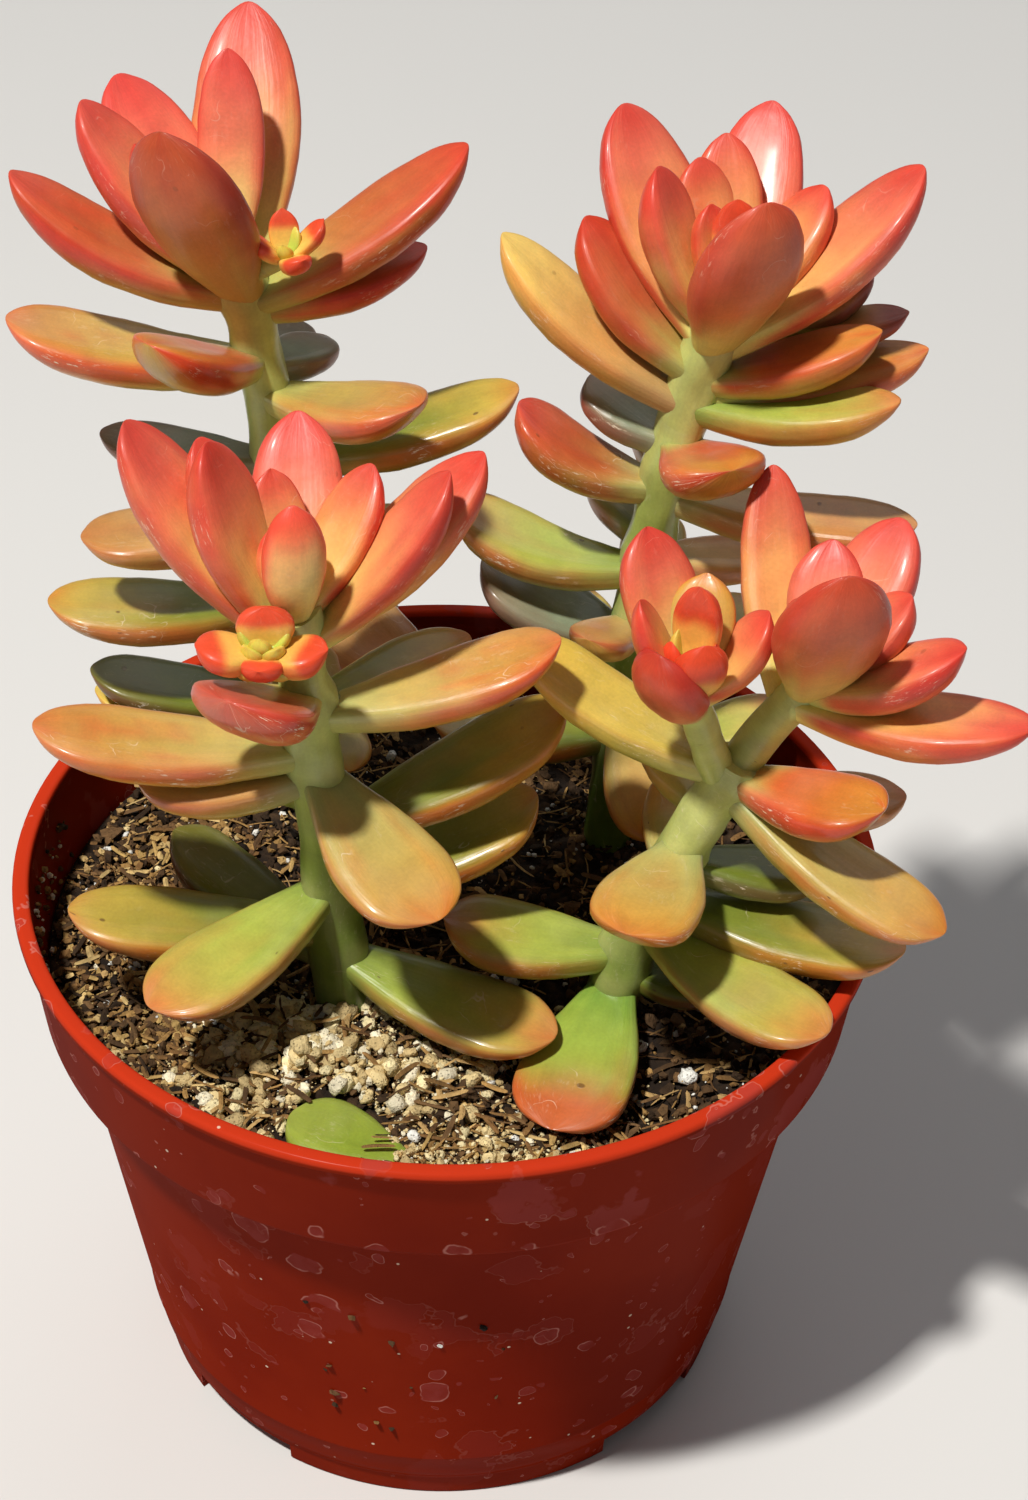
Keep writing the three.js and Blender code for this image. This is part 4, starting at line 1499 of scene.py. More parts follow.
@dataclass
class Plant:
    """The four stems with their leaves, rosettes and shoots."""

    green: bpy.types.Material
    coral: bpy.types.Material
    pointed: LeafShape = field(default_factory=LeafShape)
    blunt: LeafShape = LeafShape(widest=0.66, root_width=0.36, swell=1.4, fall=2.8, tip=0.56)
    bark: StemSkin = field(default_factory=StemSkin)
    edge: float = math.radians(75)
    seed: int = 0
    fallen_seed: int = 200

    def leaves(self, skin_mesh: SkinMesh, stem: Stem, leaves: Sequence[Leaf], shape: LeafShape) -> None:
        """Adds the leaves of a list, each rooted on its stem's curve.

        Args:
            skin_mesh: The mesh to add to.
            stem: The stem that they root on.
            leaves: The leaves.
            shape: The form that they share.
        """
        for leaf in leaves:
            self.seed += 1
            shape.add(skin_mesh, leaf, stem.point(leaf.at), self.seed)

    def leafy_stem(self, name: str, node: str, stem: Stem, branches: Sequence[Stem] = ()) -> None:
        """Builds a stem's lower part with its leaves, in place of the model's plainer one.

        Args:
            name: The piece's name.
            node: The model's node that it stands for.
            stem: The stem.
            branches: Branches whose lower ends belong to this piece.
        """
        skin_mesh = SkinMesh()
        self.bark.add(skin_mesh, stem, 0, stem.cut)
        for branch in branches:
            self.bark.add(skin_mesh, branch, 0, branch.cut)
        self.leaves(skin_mesh, stem, stem.leaves, self.blunt)
        piece = new_piece(name, skin_mesh.mesh, self.green)
        piece.data.set_sharp_from_angle(angle=self.edge)
        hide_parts(node)

    def rosette(self, name: str, node: str, stem: Stem, shoots: Sequence[Stem] = ()) -> None:
        """Builds a rosette with the end of its stem and any shoots beside it.

        Args:
            name: The piece's name.
            node: The model's node that it stands for.
            stem: The stem that it ends.
            shoots: Side shoots with small rosettes of their own.
        """
        skin_mesh = SkinMesh()
        self.bark.add(skin_mesh, stem, stem.cut, 1)
        self.leaves(skin_mesh, stem, stem.head, self.pointed)
        for shoot in shoots:
            self.bark.add(skin_mesh, shoot, 0, 1)
            self.leaves(skin_mesh, shoot, shoot.head, self.pointed)
        piece = new_piece(name, skin_mesh.mesh, self.coral)
        piece.data.set_sharp_from_angle(angle=self.edge)
        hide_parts(node)

    def fallen_leaf(self) -> None:
        """Builds the leaf that dropped on the soil at the front."""
        skin_mesh = SkinMesh()
        self.blunt.add(skin_mesh, FALLEN_LEAF, Vector(FALLEN_LEAF_BASE), self.fallen_seed)
        piece = new_piece("dropped_leaf", skin_mesh.mesh, self.green)
        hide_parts("fallen_leaf")

    def build(self) -> None:
        """Builds every stem, rosette and the fallen leaf."""
        self.leafy_stem("back_left_stem", "leafy_stem_back_left", BACK_LEFT)
        self.rosette("back_left_rosette", "rosette_back_left", BACK_LEFT, [BACK_LEFT_BUD])
        self.leafy_stem("front_left_stem", "leafy_stem_front_left", FRONT_LEFT)
        self.rosette("front_left_rosette", "rosette_front_left", FRONT_LEFT, [FRONT_LEFT_BUD])
        self.leafy_stem("back_right_stem", "leafy_stem_back_right", BACK_RIGHT)
        self.rosette("back_right_rosette", "rosette_back_right", BACK_RIGHT, [BACK_RIGHT_SHOOT])
        branches = [SMALL_BRANCH, LARGE_BRANCH]
        self.leafy_stem("front_right_stem", "forked_stem_front_right", FRONT_RIGHT, branches)
        self.rosette("front_right_small_rosette", "rosette_small_front_right", SMALL_BRANCH)
        self.rosette("front_right_large_rosette", "rosette_large_front_right", LARGE_BRANCH)
        self.fallen_leaf()


@dataclass
class Pot:
    """The moulded nursery pot, in millimetres."""

    plastic: bpy.types.Material
    rim_radius: float = 76.2
    rim_height: float = 108
    lip_depth: float = 2.4
    lip_width: float = 3
    collar_top_radius: float = 75
    collar_foot_radius: float = 72.6
    collar_foot_height: float = 85
    body_top_radius: float = 68
    body_foot_radius: float = 56
    body_foot_height: float = 7
    wall: float = 1.6
    floor_underside: float = 4
    floor_thickness: float = 2
    foot_radius: float = 54.5
    foot_width: float = 3
    hub_radius: float = 9
    notches: int = 4
    notch_width: float = 24
    first_notch_turn: float = -43
    drain_radius: float = 5
    drain_circle_radius: float = 43
    drain_sides: int = 32
    bead_height: float = 13
    bead: float = 0.25
    bead_section: tuple[Pair, ...] = ((-0.6, 0), (-0.2, 1), (0.2, 1), (0.6, 0))
    steps: int = 160
    weld: float = 1e-6
    wobble: float = 0.12
    wobble_waves: float = 28
    wobble_start: float = 0.06
    sharp: float = math.radians(50)

    def wall_radius(self, height: float) -> float:
        """Gives the radius of the outside wall at a height between the foot and the lip.

        Args:
            height: The height, in millimetres.

        Returns:
            The radius, in millimetres.
        """
        if height < self.collar_foot_height:
            low, high = self.body_foot_height, self.collar_foot_height
            first, second = self.body_foot_radius, self.body_top_radius
        else:
            low, high = self.collar_foot_height, self.rim_height
            first, second = self.collar_foot_radius, self.collar_top_radius
        return first + (second - first) * (height - low) / (high - low)

    def outline(self) -> list[Pair]:
        """Draws the pot's section from the hub out and over the lip.

        Returns:
            Its points as radius and height.
        """
        ring = self.foot_radius - self.foot_width
        lip = self.rim_height - self.lip_depth
        inner_floor = self.floor_underside + self.floor_thickness
        foot = [
            (0, 0, 0),
            (self.hub_radius, 0, 0.6),
            (self.hub_radius + 1, self.floor_underside, 0.6),
            (ring - 0.5, self.floor_underside, 0.5),
            (ring, 0, 0.6),
            (self.foot_radius, 0, 0.7),
            (self.foot_radius + 0.3, self.body_foot_height - 2, 0.6),
            (self.body_foot_radius, self.body_foot_height, 1.2),
        ]
        bead = [
            (self.wall_radius(self.bead_height + step) + self.bead * out, self.bead_height + step, 0)
            for step, out in self.bead_section
        ]
        outside = [
            (self.body_top_radius, self.collar_foot_height, 1.4),
            (self.collar_foot_radius, self.collar_foot_height, 1.1),
            (self.collar_top_radius, lip, 0.3),
            (self.rim_radius, lip + 0.2, 0.7),
            (self.rim_radius, self.rim_height, 1.0),
            (self.rim_radius - self.lip_width, self.rim_height, 1.0),
        ]
        inside = [
            (self.collar_top_radius - self.wall, lip - 1, 0.8),
            (self.collar_foot_radius - self.wall, self.collar_foot_height + 1, 1),
            (self.body_top_radius - self.wall, self.collar_foot_height - 1, 1),
            (self.body_foot_radius - self.wall, self.body_foot_height + 2, 1.5),
            (self.body_foot_radius - self.wall - 2, inner_floor, 1),
            (0, inner_floor, 0),
        ]
        return rounded(foot + bead + outside + inside)

    def cutters(self) -> bpy.types.Object:
        """Makes the blocks that cut the foot's notches and the cylinders that cut the drain holes.

        Returns:
            One object, to be removed after the cut.
        """
        mesh = bmesh.new()
        middle = self.foot_radius - self.foot_width / 2
        notch_place = Matrix.Translation((middle * MM, 0, (self.floor_underside / 2 - 1) * MM))
        notch_size = Matrix.Diagonal(
            (2 * self.foot_width * MM, self.notch_width * MM, (self.floor_underside + 2) * MM, 1)
        )
        drain_place = Matrix.Translation((self.drain_circle_radius * MM, 0, self.floor_underside * MM))
        for number in range(self.notches):
            degrees = self.first_notch_turn + number * 360 / self.notches
            turn = Matrix.Rotation(math.radians(degrees), 4, "Z")
            bmesh.ops.create_cube(mesh, size=1, matrix=turn @ notch_place @ notch_size)
            bmesh.ops.create_cone(
                mesh,
                cap_ends=True,
                segments=self.drain_sides,
                radius1=self.drain_radius * MM,
                radius2=self.drain_radius * MM,
                depth=4 * self.floor_thickness * MM,
                matrix=turn @ drain_place,
            )
        return loose_object("cutters", mesh)

    def build(self) -> None:
        """Turns the section about the axis, cuts notches and drain holes, and dresses the pot."""
        mesh = bmesh.new()
        lathe(mesh, self.outline(), self.steps, self.weld)
        for point in mesh.verts:
            outward = Vector((point.co.x, point.co.y, 0))
            if outward.length > self.wobble_start:
                share = self.wobble * noise.noise(point.co * self.wobble_waves) * MM
                point.co += outward.normalized() * share
        shell = loose_object("pot_rough", mesh)
        cutter = self.cutters()
        cut = shell.modifiers.new("cut", "BOOLEAN")
        cut.operation = "DIFFERENCE"
        cut.object = cutter
        cut.solver = "EXACT"
        graph = bpy.context.evaluated_depsgraph_get()
        whole = bmesh.new()
        whole.from_mesh(shell.evaluated_get(graph).to_mesh())
        bpy.data.objects.remove(shell)
        bpy.data.objects.remove(cutter)
        piece = new_piece("pot_shell", whole, self.plastic)
        for edge in piece.data.edges:
            edge.use_edge_sharp = False
        piece.data.set_sharp_from_angle(angle=self.sharp)
        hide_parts("pot")


def loose_object(name: str, mesh: bmesh.types.BMesh) -> bpy.types.Object:
    """Turns a bmesh into an object that belongs to no part.

    Args:
        name: The object's name.
        mesh: The bmesh, which is freed here.

    Returns:
        The object, linked to the scene.
    """
    data = bpy.data.meshes.new(name)
    mesh.to_mesh(data)
    mesh.free()
    made = bpy.data.objects.new(name, data)
    bpy.context.scene.collection.objects.link(made)
    return made


def lathe(mesh: bmesh.types.BMesh, outline: Sequence[Pair], steps: int, weld: float) -> None:
    """Turns an outline once round the Z axis.

    Args:
        mesh: The mesh to add to, which is empty so far.
        outline: Its points as radius and height, in millimetres.
        steps: How many faces go round.
        weld: The distance under which points become one, in metres.
    """
    points = [mesh.verts.new((radius * MM, 0, height * MM)) for radius, height in outline]
    edges = [mesh.edges.new(pair) for pair in zip(points, points[1:])]
    bmesh.ops.spin(
        mesh,
        geom=points + edges,
        cent=(0, 0, 0),
        axis=(0, 0, 1),
        dvec=(0, 0, 0),
        angle=math.tau,
        steps=steps,
        use_merge=True,
        use_duplicate=False,
    )
    bmesh.ops.remove_doubles(mesh, verts=mesh.verts, dist=weld)
    bmesh.ops.recalc_face_normals(mesh, faces=mesh.faces)


def rounded(corners: Sequence[Triple], bends: int = 4, most: float = 0.45) -> list[Pair]:
    """Rounds the corners of an open outline.

    Args:
        corners: Radius, height and fillet of each corner. A fillet of 0 keeps the corner.
        bends: Steps in each rounded corner.
        most: The greatest share of an edge that a fillet takes.

    Returns:
        The outline's points as radius and height.
    """
    made: list[Pair] = []
    for number, (radius, height, fillet) in enumerate(corners):
        here = Vector((radius, height))
        if fillet == 0 or number in (0, len(corners) - 1):
            made.append((radius, height))
            continue
        before = Vector(corners[number - 1][:2]) - here
        after = Vector(corners[number + 1][:2]) - here
        cut = min(fillet, before.length * most, after.length * most)
        start, end = here + before.normalized() * cut, here + after.normalized() * cut
        for step in range(bends + 1):
            share = step / bends
            point = start * (1 - share) ** 2 + here * (2 * share * (1 - share)) + end * share**2
            made.append((point.x, point.y))
    return made


@dataclass(frozen=True)
class Grains:
    """One kind of grain in the potting mix, in millimetres."""

    count: int
    sizes: Pair
    colours: tuple[Colour, ...]
    rough: float = 0.35
    flat: float = 0.7
    fineness: int = 2
    centre: Pair | None = None
    spread: Pair = (16, 9)
    pile: float = 0
    sunk: float = 0.2
    small_share: float = 2.0


@dataclass(frozen=True)
class Fibres:
    """One kind of thin strip in the potting mix, in millimetres."""

    count: int
    lengths: Pair
    widths: Pair
    colours: tuple[Colour, ...]
    flat: float = 0.4
    bend: float = 0.1
    centre: Pair | None = None
    spread: Pair = (16, 9)
    lift: float = 1.3


@dataclass(frozen=True)
class Stuck:
    """Where crumbs stick to the pot: the span of bearings in degrees and of heights, and how far
    from the outside of the wall, in millimetres.
    """

    bearings: Pair
    heights: Pair
    out: float


class Batches:
    """Gathers many small shapes into one mesh, a batch at a time, because each call gets slower
    as its mesh grows.
    """

    size = 120

    def __init__(self) -> None:
        """Starts with nothing gathered."""
        self.whole = SkinMesh()
        self.batch = SkinMesh()
        self.held = 0

    def place(self, shape: Callable[[SkinMesh], None]) -> None:
        """Adds one shape.

        Args:
            shape: A function that is given the mesh to add to.
        """
        shape(self.batch)
        self.held += 1
        if self.held >= self.size:
            self.flush()

    def flush(self) -> None:
        """Moves the batch into the whole mesh."""
        data = bpy.data.meshes.new("batch")
        self.batch.mesh.to_mesh(data)
        self.batch.mesh.free()
        self.whole.mesh.from_mesh(data)
        bpy.data.meshes.remove(data)
        self.batch = SkinMesh()
        self.held = 0

    def finished(self) -> bmesh.types.BMesh:
        """Ends the gathering.

        Returns:
            The whole mesh, with the last batch in it.
        """
        self.flush()
        self.batch.mesh.free()
        return self.whole.mesh


@dataclass
class PottingMix:
    """The bed of soil and all that lies on it, in millimetres."""

    peat: bpy.types.Material
    bark: bpy.types.Material
    stone: bpy.types.Material
    pot: Pot
    level: float = 90
    bottom: float = 6.35
    radius: float = 71
    foot_gap: float = 2.4
    wave_height: float = 0.8
    wave_turns: Pair = (0.11, 0.13)
    wave_shift: float = 1.3
    heap_height: float = 2
    gravel_centre: Pair = (-20, -37)
    gravel_spread: float = 10
    dip_centre: Pair = (26, -42)
    dip_spread: float = 13
    dip_depth: float = 4
    rings: int = 84
    steps: int = 320
    weld: float = 2e-6
    dark: Colour = paint(34, 25, 18)
    light: Colour = paint(92, 68, 44)
    lump_waves: Triple = (0.35, 0.9, 2.1)
    lump_shares: Triple = (0.9, 0.6, 0.5)
    lump_fade: Pair = (-0.2, 1.2)
    flat_edge: float = 1.5
    bare_leaf: Triple = (0.3, 1, 0.55)
    grain_tilt: float = 0.8
    grain_widths: Pair = (0.65, 1)
    grain_heights: Pair = (0.7, 1.2)
    grain_shades: Pair = (0.8, 1.2)
    grain_waves: Triple = (1.6, 4, 2)
    grain_shares: Triple = (1, 0.4, 0.25)
    own_span: float = 50
    fibre_margin: float = 0.45
    fibre_lift: float = 0.2
    fibre_tilt: float = 0.25
    fibre_shades: Pair = (0.75, 1.25)
    fibre_fade: Pair = (0.85, 0.3)
    fibre_fullness: float = 0.4
    rng: random.Random = field(default_factory=lambda: random.Random(20))

    def height(self, x: float, y: float) -> float:
        """Gives the height of the soil: low waves, a heap of gravel and a dip.

        Args:
            x: The place to the right.
            y: The place to the back.

        Returns:
            The height above the floor, in millimetres.
        """

        def rise_at(centre: Pair, spread: float) -> float:
            """The share of a round heap at the place."""
            return math.exp(-((x - centre[0]) ** 2 + (y - centre[1]) ** 2) / (2 * spread * spread))

        turn_x, turn_y = self.wave_turns
        waves = self.wave_height * math.sin(turn_x * x + self.wave_shift) * math.cos(turn_y * y)
        heap = self.heap_height * rise_at(self.gravel_centre, self.gravel_spread)
        dip = self.dip_depth * rise_at(self.dip_centre, self.dip_spread)
        return self.level + waves + heap - dip

    def build_bed(self) -> None:
        """Builds the bed itself, with a crumbly top, in place of the model's plainer one."""
        skin_mesh = SkinMesh()
        mesh = skin_mesh.mesh
        foot = self.pot.body_foot_radius - self.pot.wall - self.foot_gap
        step = self.pot.collar_foot_height
        outline = [(self.radius * share / self.rings, self.level) for share in range(self.rings + 1)]
        outline += [(self.radius - 1, step + 1), (self.pot.body_top_radius - 2, step - 1)]
        outline += [(foot + 2, 9), (foot, self.bottom), (0, self.bottom)]
        lathe(mesh, outline, self.steps, self.weld)
        coarse, middle, fine = self.lump_waves
        lift_share, middle_share, fine_share = self.lump_shares
        for point in mesh.verts:
            x, y = point.co.x / MM, point.co.y / MM
            place = Vector((x, y, 0))
            lumps = noise.noise(place * coarse) + middle_share * noise.noise(place * middle)
            if point.co.z / MM > self.level - 1:
                inner = smooth(self.radius, self.radius - self.flat_edge, place.length)
                lift = lift_share * lumps + fine_share * noise.noise(place * fine)
                point.co.z = (self.height(x, y) * inner + self.level * (1 - inner) + lift * inner) * MM
            colour = blend(self.dark, self.light, smooth(*self.lump_fade, lumps))
            skin_mesh.paint(point, colour, 0, place * MM)
        piece = new_piece("soil_bed", mesh, self.peat)
        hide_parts("soil")

    def on_dropped_leaf(self, x: float, y: float) -> bool:
        """Tells whether a place lies on the bare part of the dropped leaf.

        Args:
            x: The place to the right.
            y: The place to the back.

        Returns:
            Whether the leaf is bare there.
        """
        turn = math.radians(FALLEN_LEAF.turn)
        away = Vector((x - FALLEN_LEAF_BASE[0], y - FALLEN_LEAF_BASE[1]))
        along = away.x * math.cos(turn) + away.y * math.sin(turn)
        across = abs(away.y * math.cos(turn) - away.x * math.sin(turn))
        start, end, width = self.bare_leaf
        inside = start * FALLEN_LEAF.length < along < end * FALLEN_LEAF.length
        return inside and across < width * FALLEN_LEAF.width

    def spot(self, centre: Pair | None, spread: Pair, margin: float) -> Pair:
        """Draws a place on the bed.

        Args:
            centre: The middle of a heap, or None for anywhere.
            spread: How far a heap reaches each way.
            margin: The distance kept from the wall.

        Returns:
            The place, in millimetres.
        """
        while True:
            if centre is None:
                turn = self.rng.uniform(0, math.tau)
                reach = self.radius * math.sqrt(self.rng.random())
                x, y = reach * math.cos(turn), reach * math.sin(turn)
            else:
                x = self.rng.gauss(centre[0], spread[0])
                y = self.rng.gauss(centre[1], spread[1])
            if math.hypot(x, y) < self.radius - margin and not self.on_dropped_leaf(x, y):
                return x, y

    def build_grains(
        self, kinds: Iterable[Grains], name: str, material: bpy.types.Material, smoothed: bool = True
    ) -> None:
        """Scatters one piece of grains over the bed.

        Args:
            kinds: The kinds of grain in the piece.
            name: The piece's name.
            material: Its material.
            smoothed: Whether the grains are rounded rather than crumbly.
        """
        batches = Batches()
        for kind in kinds:
            least, most = kind.sizes
            for _ in range(kind.count):
                size = least + (most - least) * self.rng.random() ** kind.small_share
                x, y = self.spot(kind.centre, kind.spread, size / 2)
                lift = kind.pile * self.rng.random()
                if kind.centre is not None:
                    away = (x - kind.centre[0]) / kind.spread[0], (y - kind.centre[1]) / kind.spread[1]
                    lift *= math.exp(-(away[0] ** 2 + away[1] ** 2) / 2)
                rest = size * (0.5 - kind.sunk) * kind.flat
                centre = Vector((x, y, self.height(x, y) + lift + rest))
                colour = self.rng.choice(kind.colours)
                batches.place(self.grain(kind, centre, size, colour))
        new_piece(name, batches.finished(), material, smoothed)

    def build_stuck(self, name: str, where: Stuck, kind: Grains, material: bpy.types.Material) -> None:
        """Sticks crumbs to the pot's wall.

        Args:
            name: The piece's name.
            where: Where they stick.
            kind: Their number, sizes and colours.
            material: Their material.
        """
        batches = Batches()
        for _ in range(kind.count):
            turn = math.radians(self.rng.uniform(*where.bearings))
            height = self.rng.uniform(*where.heights)
            radius = self.pot.wall_radius(height) + where.out
            size = self.rng.uniform(*kind.sizes)
            centre = Vector((radius * math.cos(turn), radius * math.sin(turn), height))
            batches.place(self.grain(kind, centre, size, self.rng.choice(kind.colours)))
        new_piece(name, batches.finished(), material, False)

    def grain(
        self, kind: Grains, centre: Vector, size: float, colour: Colour
    ) -> Callable[[SkinMesh], None]:
        """Prepares one rough grain.

        Args:
            kind: The kind of grain.
            centre: Its middle, in millimetres.
            size: Its greatest width, in millimetres.
            colour: Its colour.

        Returns:
            A function that adds the grain to a mesh.
        """
        draw, drawn = self.rng.random, self.rng.uniform
        tilts = drawn(0, self.grain_tilt), drawn(0, self.grain_tilt)
        turn = Euler((*tilts, drawn(0, math.tau))).to_matrix()
        size_shares = 1, drawn(*self.grain_widths), kind.flat * drawn(*self.grain_heights)
        form = turn @ Matrix.Diagonal(size_shares)
        own = Vector((draw(), draw(), draw())) * self.own_span
        shade = drawn(*self.grain_shades)
        coarse, fine, slow = self.grain_waves
        coarse_share, fine_share, slow_share = self.grain_shares

        def add(skin_mesh: SkinMesh) -> None:
            """Adds the grain.

            Args:
                skin_mesh: The mesh to add to.
            """
            made = bmesh.ops.create_icosphere(skin_mesh.mesh, subdivisions=kind.fineness, radius=1)
            for point in made["verts"]:
                lumps = coarse_share * noise.noise(point.co * coarse + own)
                lumps += fine_share * noise.noise(point.co * fine + own)
                place = centre + form @ point.co * (size / 2 * (1 + kind.rough * lumps))
                tone = shade * (1 + slow_share * noise.noise(point.co * slow + own))
                point.co = place * MM
                skin_mesh.paint(point, tinted(colour, tone), 0, place * MM)

        return add

    def build_fibres(self, kinds: Iterable[Fibres], name: str) -> None:
        """Strews strips of bark and coir over the bed.

        Args:
            kinds: The kinds of strip.
            name: The piece's name.
        """
        batches = Batches()
        for kind in kinds:
            for _ in range(kind.count):
                length = self.rng.uniform(*kind.lengths)
                x, y = self.spot(kind.centre, kind.spread, length * self.fibre_margin)
                lift = self.rng.uniform(self.fibre_lift, kind.lift)
                centre = Vector((x, y, self.height(x, y) + lift))
                width = self.rng.uniform(*kind.widths)
                colour = self.rng.choice(kind.colours)
                batches.place(self.fibre(kind, centre, (length, width), colour))
        new_piece(name, batches.finished(), self.bark, False)

    def fibre(
        self, kind: Fibres, centre: Vector, size: Pair, colour: Colour
    ) -> Callable[[SkinMesh], None]:
        """Prepares one bent strip.

        Args:
            kind: The kind of strip.
            centre: Its middle, in millimetres.
            size: Its length and width, in millimetres.
            colour: Its colour.

        Returns:
            A function that adds the strip to a mesh.
        """
        length, width = size
        drawn = self.rng.uniform
        tilt = drawn(-self.fibre_tilt, self.fibre_tilt)
        turn = Euler((0, tilt, drawn(0, math.tau))).to_matrix()
        sway = drawn(-1, 1) * kind.bend * length
        shade = drawn(*self.fibre_shades)
        least, rise = self.fibre_fade

        def add(skin_mesh: SkinMesh) -> None:
            """Adds the strip.

            Args:
                skin_mesh: The mesh to add to.
            """
            made = bmesh.ops.create_uvsphere(skin_mesh.mesh, u_segments=4, v_segments=6, radius=1)
            for point in made["verts"]:
                along = point.co.z
                ring = math.hypot(point.co.x, point.co.y) ** self.fibre_fullness
                angle = math.atan2(point.co.y, point.co.x)
                across = sway * (1 - along * along) + math.cos(angle) * ring * width / 2
                up = math.sin(angle) * ring * width / 2 * kind.flat
                place = centre + turn @ Vector((along * length / 2, across, up))
                point.co = place * MM
                tone = shade * (least + rise * abs(along))
                flat = Vector((along * length, width, centre.x)) * MM
                skin_mesh.paint(point, tinted(colour, tone), 0, flat)

        return add

    def build(self) -> None:
        """Builds the bed, the crumbs, the strips, the perlite, the gravel and the dust."""
        self.build_bed()
        browns = (paint(34, 25, 18), paint(56, 41, 27), paint(84, 62, 40), paint(112, 84, 54))
        tans = (paint(136, 102, 60), paint(164, 128, 76), paint(190, 156, 102), paint(96, 68, 40))
        straws = (paint(182, 150, 92), paint(206, 176, 118), paint(158, 122, 72), paint(126, 92, 54))
        whites = (paint(232, 232, 226), paint(214, 214, 206), paint(240, 238, 230))
        creams = (paint(238, 222, 174), paint(222, 200, 148), paint(244, 234, 204), paint(202, 178, 128))
        chaff = straws + browns[1:]
        left = {"centre": (-52, -6), "spread": (12, 26)}
        left_edge = {"centre": (-52, -6), "spread": (9, 22)}
        front = {"centre": (12, -57), "spread": (18, 6)}
        front_edge = {"centre": (12, -57), "spread": (20, 6)}
        front_band = {"centre": (12, -57), "spread": (22, 7)}
        heap = {"centre": self.gravel_centre, "spread": (15, 8)}
        heap_foot = {"centre": self.gravel_centre, "spread": (19, 10)}
        heap_skirt = {"centre": self.gravel_centre, "spread": (20, 12)}
        root = {"centre": (-4, -60), "spread": (5, 3)}
        crumbs = [
            Grains(3400, (0.6, 2.4), browns, rough=0.9, fineness=1, pile=1.2),
            Grains(320, (1.8, 4.6), browns[1:], rough=0.9, flat=0.35, fineness=1, pile=1.2),
            Grains(1500, (0.4, 1.7), tans, rough=0.9, fineness=1, pile=1.4, sunk=0),
            Grains(2500, (0.4, 2.2), straws + tans + browns[1:], 0.9, fineness=1, pile=2.4, **left),
            Grains(700, (0.4, 1.8), straws, rough=0.9, fineness=1, pile=2.6, **front),
        ]
        self.build_grains(crumbs, "peat_crumbs", self.peat, smoothed=False)
        fibres = [
            Fibres(800, (3, 11), (0.2, 0.5), tans),
            Fibres(420, (3, 9), (0.7, 1.7), tans + browns[1:], flat=0.35, bend=0.1),
            Fibres(560, (1.2, 6), (0.25, 1.2), chaff, bend=0.05, lift=2.6, **left),
            Fibres(320, (2, 8), (0.25, 1.1), chaff, bend=0.05, lift=3, **front),
            Fibres(260, (2, 7), (0.4, 1.1), browns[2:] + tans, lift=4, **heap_skirt),
        ]
        self.build_fibres(fibres, "bark_fibres")
        perlite = [
            Grains(420, (0.4, 1.4), whites, fineness=1, sunk=0, pile=1.0),
            Grains(90, (1.4, 3.4), whites, rough=0.5, sunk=0.05, pile=0.8),
            Grains(60, (0.8, 2.4), whites, rough=0.5, pile=3, **front_edge),
            Grains(150, (0.6, 2.0), whites + creams, rough=0.6, fineness=1, pile=3, **left_edge),
        ]
        self.build_grains(perlite, "perlite_grains", self.stone)
        gravel = [
            Grains(420, (1.0, 4.4), creams, rough=0.6, flat=0.8, pile=3.4, **heap),
            Grains(170, (0.8, 3.0), creams, rough=0.6, flat=0.8, pile=2.4, **front_edge),
            Grains(90, (0.8, 2.6), creams, rough=0.6, pile=5, **root),
        ]
        self.build_grains(gravel, "pumice_gravel", self.stone)
        dust = [
            Grains(2100, (0.3, 1.1), creams, fineness=1, pile=3, sunk=0, **heap_foot),
            Grains(1300, (0.3, 1.2), creams, fineness=1, pile=3, sunk=0, **front_band),
            Grains(260, (0.3, 1.4), creams + tans, fineness=1, pile=6, sunk=0, **root),
        ]
        self.build_grains(dust, "sand_dust", self.stone, smoothed=False)
        inside = Stuck((165, 232), (91, 101), -self.pot.wall - 0.2)
        stuck = Grains(170, (0.4, 1.8), browns[1:] + tans + whites, fineness=1)
        self.build_stuck("wall_crumbs", inside, stuck, self.peat)
        outside = Stuck((-112, -80), (22, 60), 0.1)
        flakes = Grains(15, (0.5, 2.6), browns + tans + whites[:1], flat=0.3, fineness=1, rough=0.9)
        self.build_stuck("pot_flakes", outside, flakes, self.bark)


@dataclass(frozen=True)
class Light:
    """One soft box of the studio, in metres and watts."""

    name: str
    place: Triple
    size: float
    power: float
    colour: Colour = (1, 1, 1)


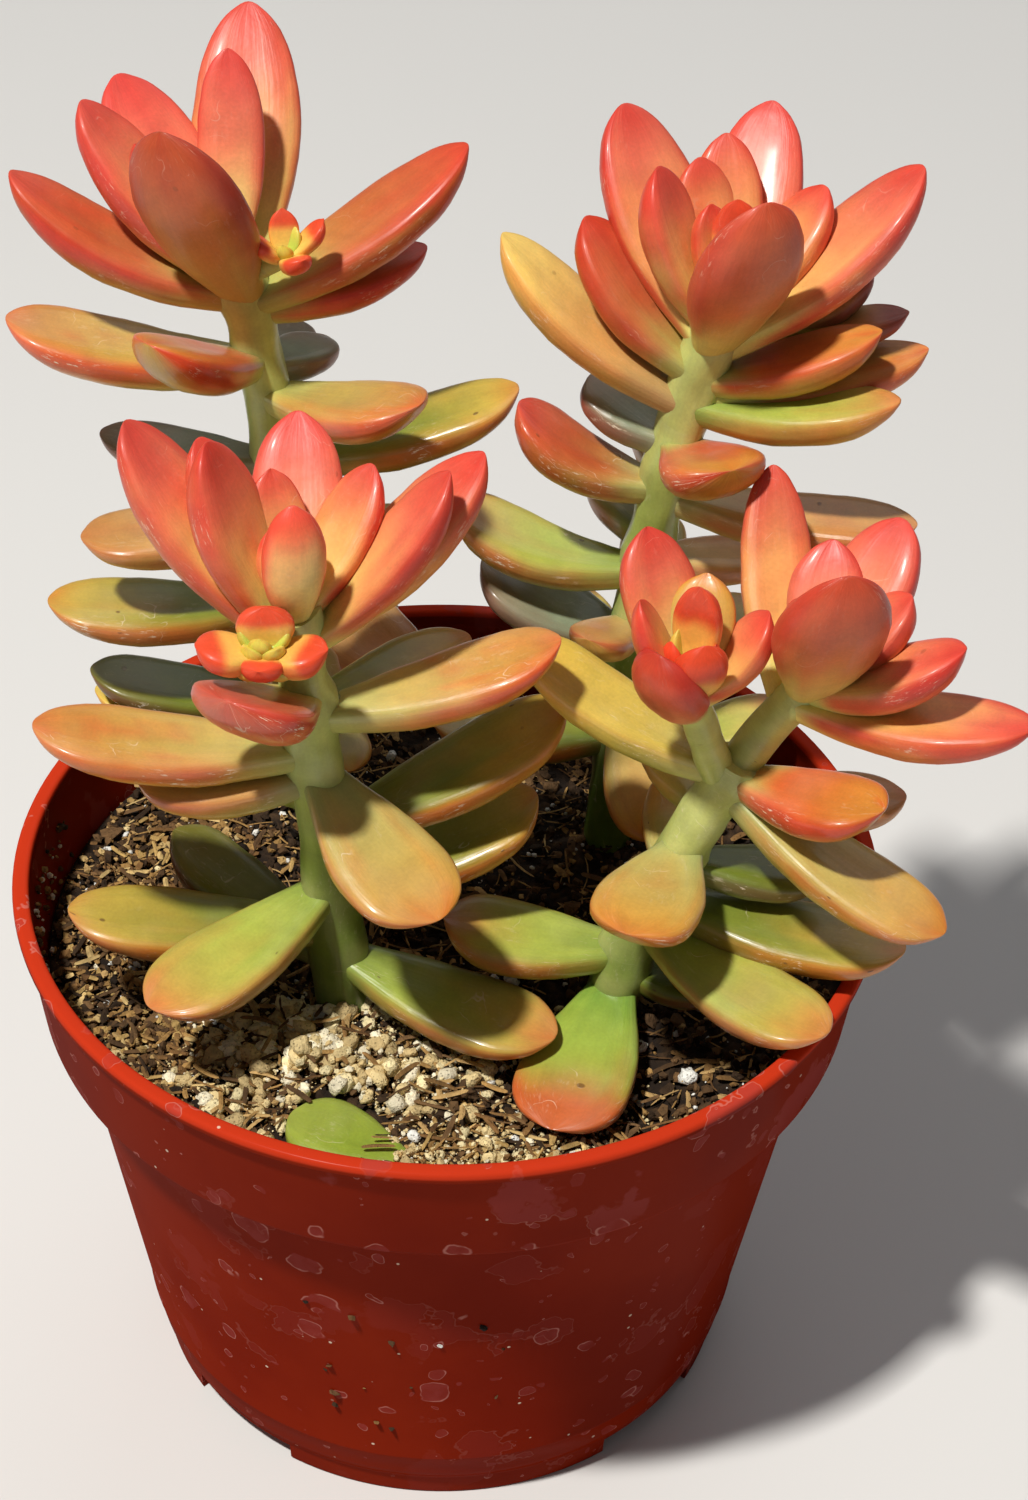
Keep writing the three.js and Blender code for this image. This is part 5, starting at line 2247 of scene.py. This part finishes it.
@dataclass
class Studio:
    """A pale floor, soft light and the camera at the photograph's angle."""

    camera_place: Triple = (0, -0.40037, 0.45513)
    aim: Triple = (0.0118, 0.028, 0.110)
    roll: float = 0.0329
    lens: float = 72
    centre: Triple = (0, 0, 0.12)
    lights: Sequence[Light] = (
        Light("key", (-0.60, -0.60, 1.93), 0.12, 46, (1, 0.97, 0.91)),
        Light("sky", (0.5, 1.2, 1.6), 1.6, 6, (0.95, 0.98, 1)),
    )
    ambience: float = 0.12
    near: float = 0.01
    floor_size: float = 6
    floor_light: Colour = paint(224, 223, 222)
    floor_dark: Colour = paint(220, 219, 218)
    floor_roughness: float = 0.75

    def build(self) -> None:
        """Builds floor, lights, world and camera."""
        self.build_floor()
        for light in self.lights:
            self.build_light(light)
        world = bpy.data.worlds.new("studio")
        world.use_nodes = True
        backdrop = world.node_tree.nodes["Background"]
        backdrop.inputs["Color"].default_value = (1, 1, 1, 1)
        backdrop.inputs["Strength"].default_value = self.ambience
        scene = bpy.context.scene
        scene.world = world
        scene.view_settings.view_transform = "Standard"
        self.build_camera()

    def build_floor(self) -> None:
        """Builds the pale floor, which isn't part of the object."""
        mesh = bmesh.new()
        bmesh.ops.create_grid(mesh, x_segments=2, y_segments=2, size=self.floor_size)
        material, nodes, shader = new_material("pale floor")
        place = nodes.add("ShaderNodeTexCoord").outputs["Object"]
        tone = nodes.mix(nodes.noise(place, 3, 3), self.floor_light, self.floor_dark)
        nodes.feed(shader, {"Base Color": tone, "Roughness": self.floor_roughness})
        floor = loose_object("floor", mesh)
        floor.data.materials.append(material)
        floor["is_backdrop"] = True

    def build_light(self, light: Light) -> None:
        """Builds one square soft box that faces the plant.

        Args:
            light: Its place, size, power and colour.
        """
        data = bpy.data.lights.new(light.name, "AREA")
        data.size = light.size
        data.energy = light.power
        data.color = light.colour
        lamp = bpy.data.objects.new(light.name, data)
        lamp.location = light.place
        look = Vector(self.centre) - Vector(light.place)
        lamp.rotation_euler = look.to_track_quat("-Z", "Y").to_euler()
        bpy.context.scene.collection.objects.link(lamp)

    def build_camera(self) -> None:
        """Builds the camera."""
        data = bpy.data.cameras.new("camera")
        data.lens = self.lens
        data.clip_start = self.near
        camera = bpy.data.objects.new("camera", data)
        look = (Vector(self.aim) - Vector(self.camera_place)).to_track_quat("-Z", "Y")
        place = Matrix.Translation(self.camera_place) @ look.to_matrix().to_4x4()
        camera.matrix_world = place @ Matrix.Rotation(self.roll, 4, "Z")
        bpy.context.scene.collection.objects.link(camera)
        bpy.context.scene.camera = camera
        bpy.context.view_layer.update()


def corners(bounds: tuple[Vector, Vector]) -> list[list[float]]:
    """Turns the two corners of a box into plain lists of numbers."""
    return [[float(part) for part in corner] for corner in bounds]


def main() -> None:
    """Builds the dressed part in order."""
    logging.basicConfig(level=logging.INFO, format="%(message)s")
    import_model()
    cad_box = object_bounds()
    group = LivingSkin().group()
    green = LeafFinish(
        "green leaf skin", group,
        streaks=0.2, bloom=0.1, freckles=0.7, scuffs=1.0, gloss=0.34, flesh=0.1, coat=0.2,
    )
    coral = LeafFinish(
        "coral leaf skin", group,
        streaks=0.18, bloom=0.04, freckles=0.3, scuffs=0.4, gloss=0.4, flesh=0.12, coat=0.08, shine=0.38,
    )
    Plant(green.material(), coral.material()).build()
    pot = Pot(PlasticFinish(DriedDrops().group()).material())
    pot.build()
    peat = GritFinish("peat", mottle=0.5, pits=0.2, grain=700)
    bark = GritFinish("bark and coir", mottle=0.45, pits=0.1, grain=900)
    stone = GritFinish("perlite and pumice", mottle=0.26, pits=0.3, grain=1000)
    PottingMix(peat.material(), bark.material(), stone.material(), pot).build()
    Studio().build()
    json.dumps({"cad": corners(cad_box), "visual": corners(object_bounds())})


if __name__ == "__main__":
    main()
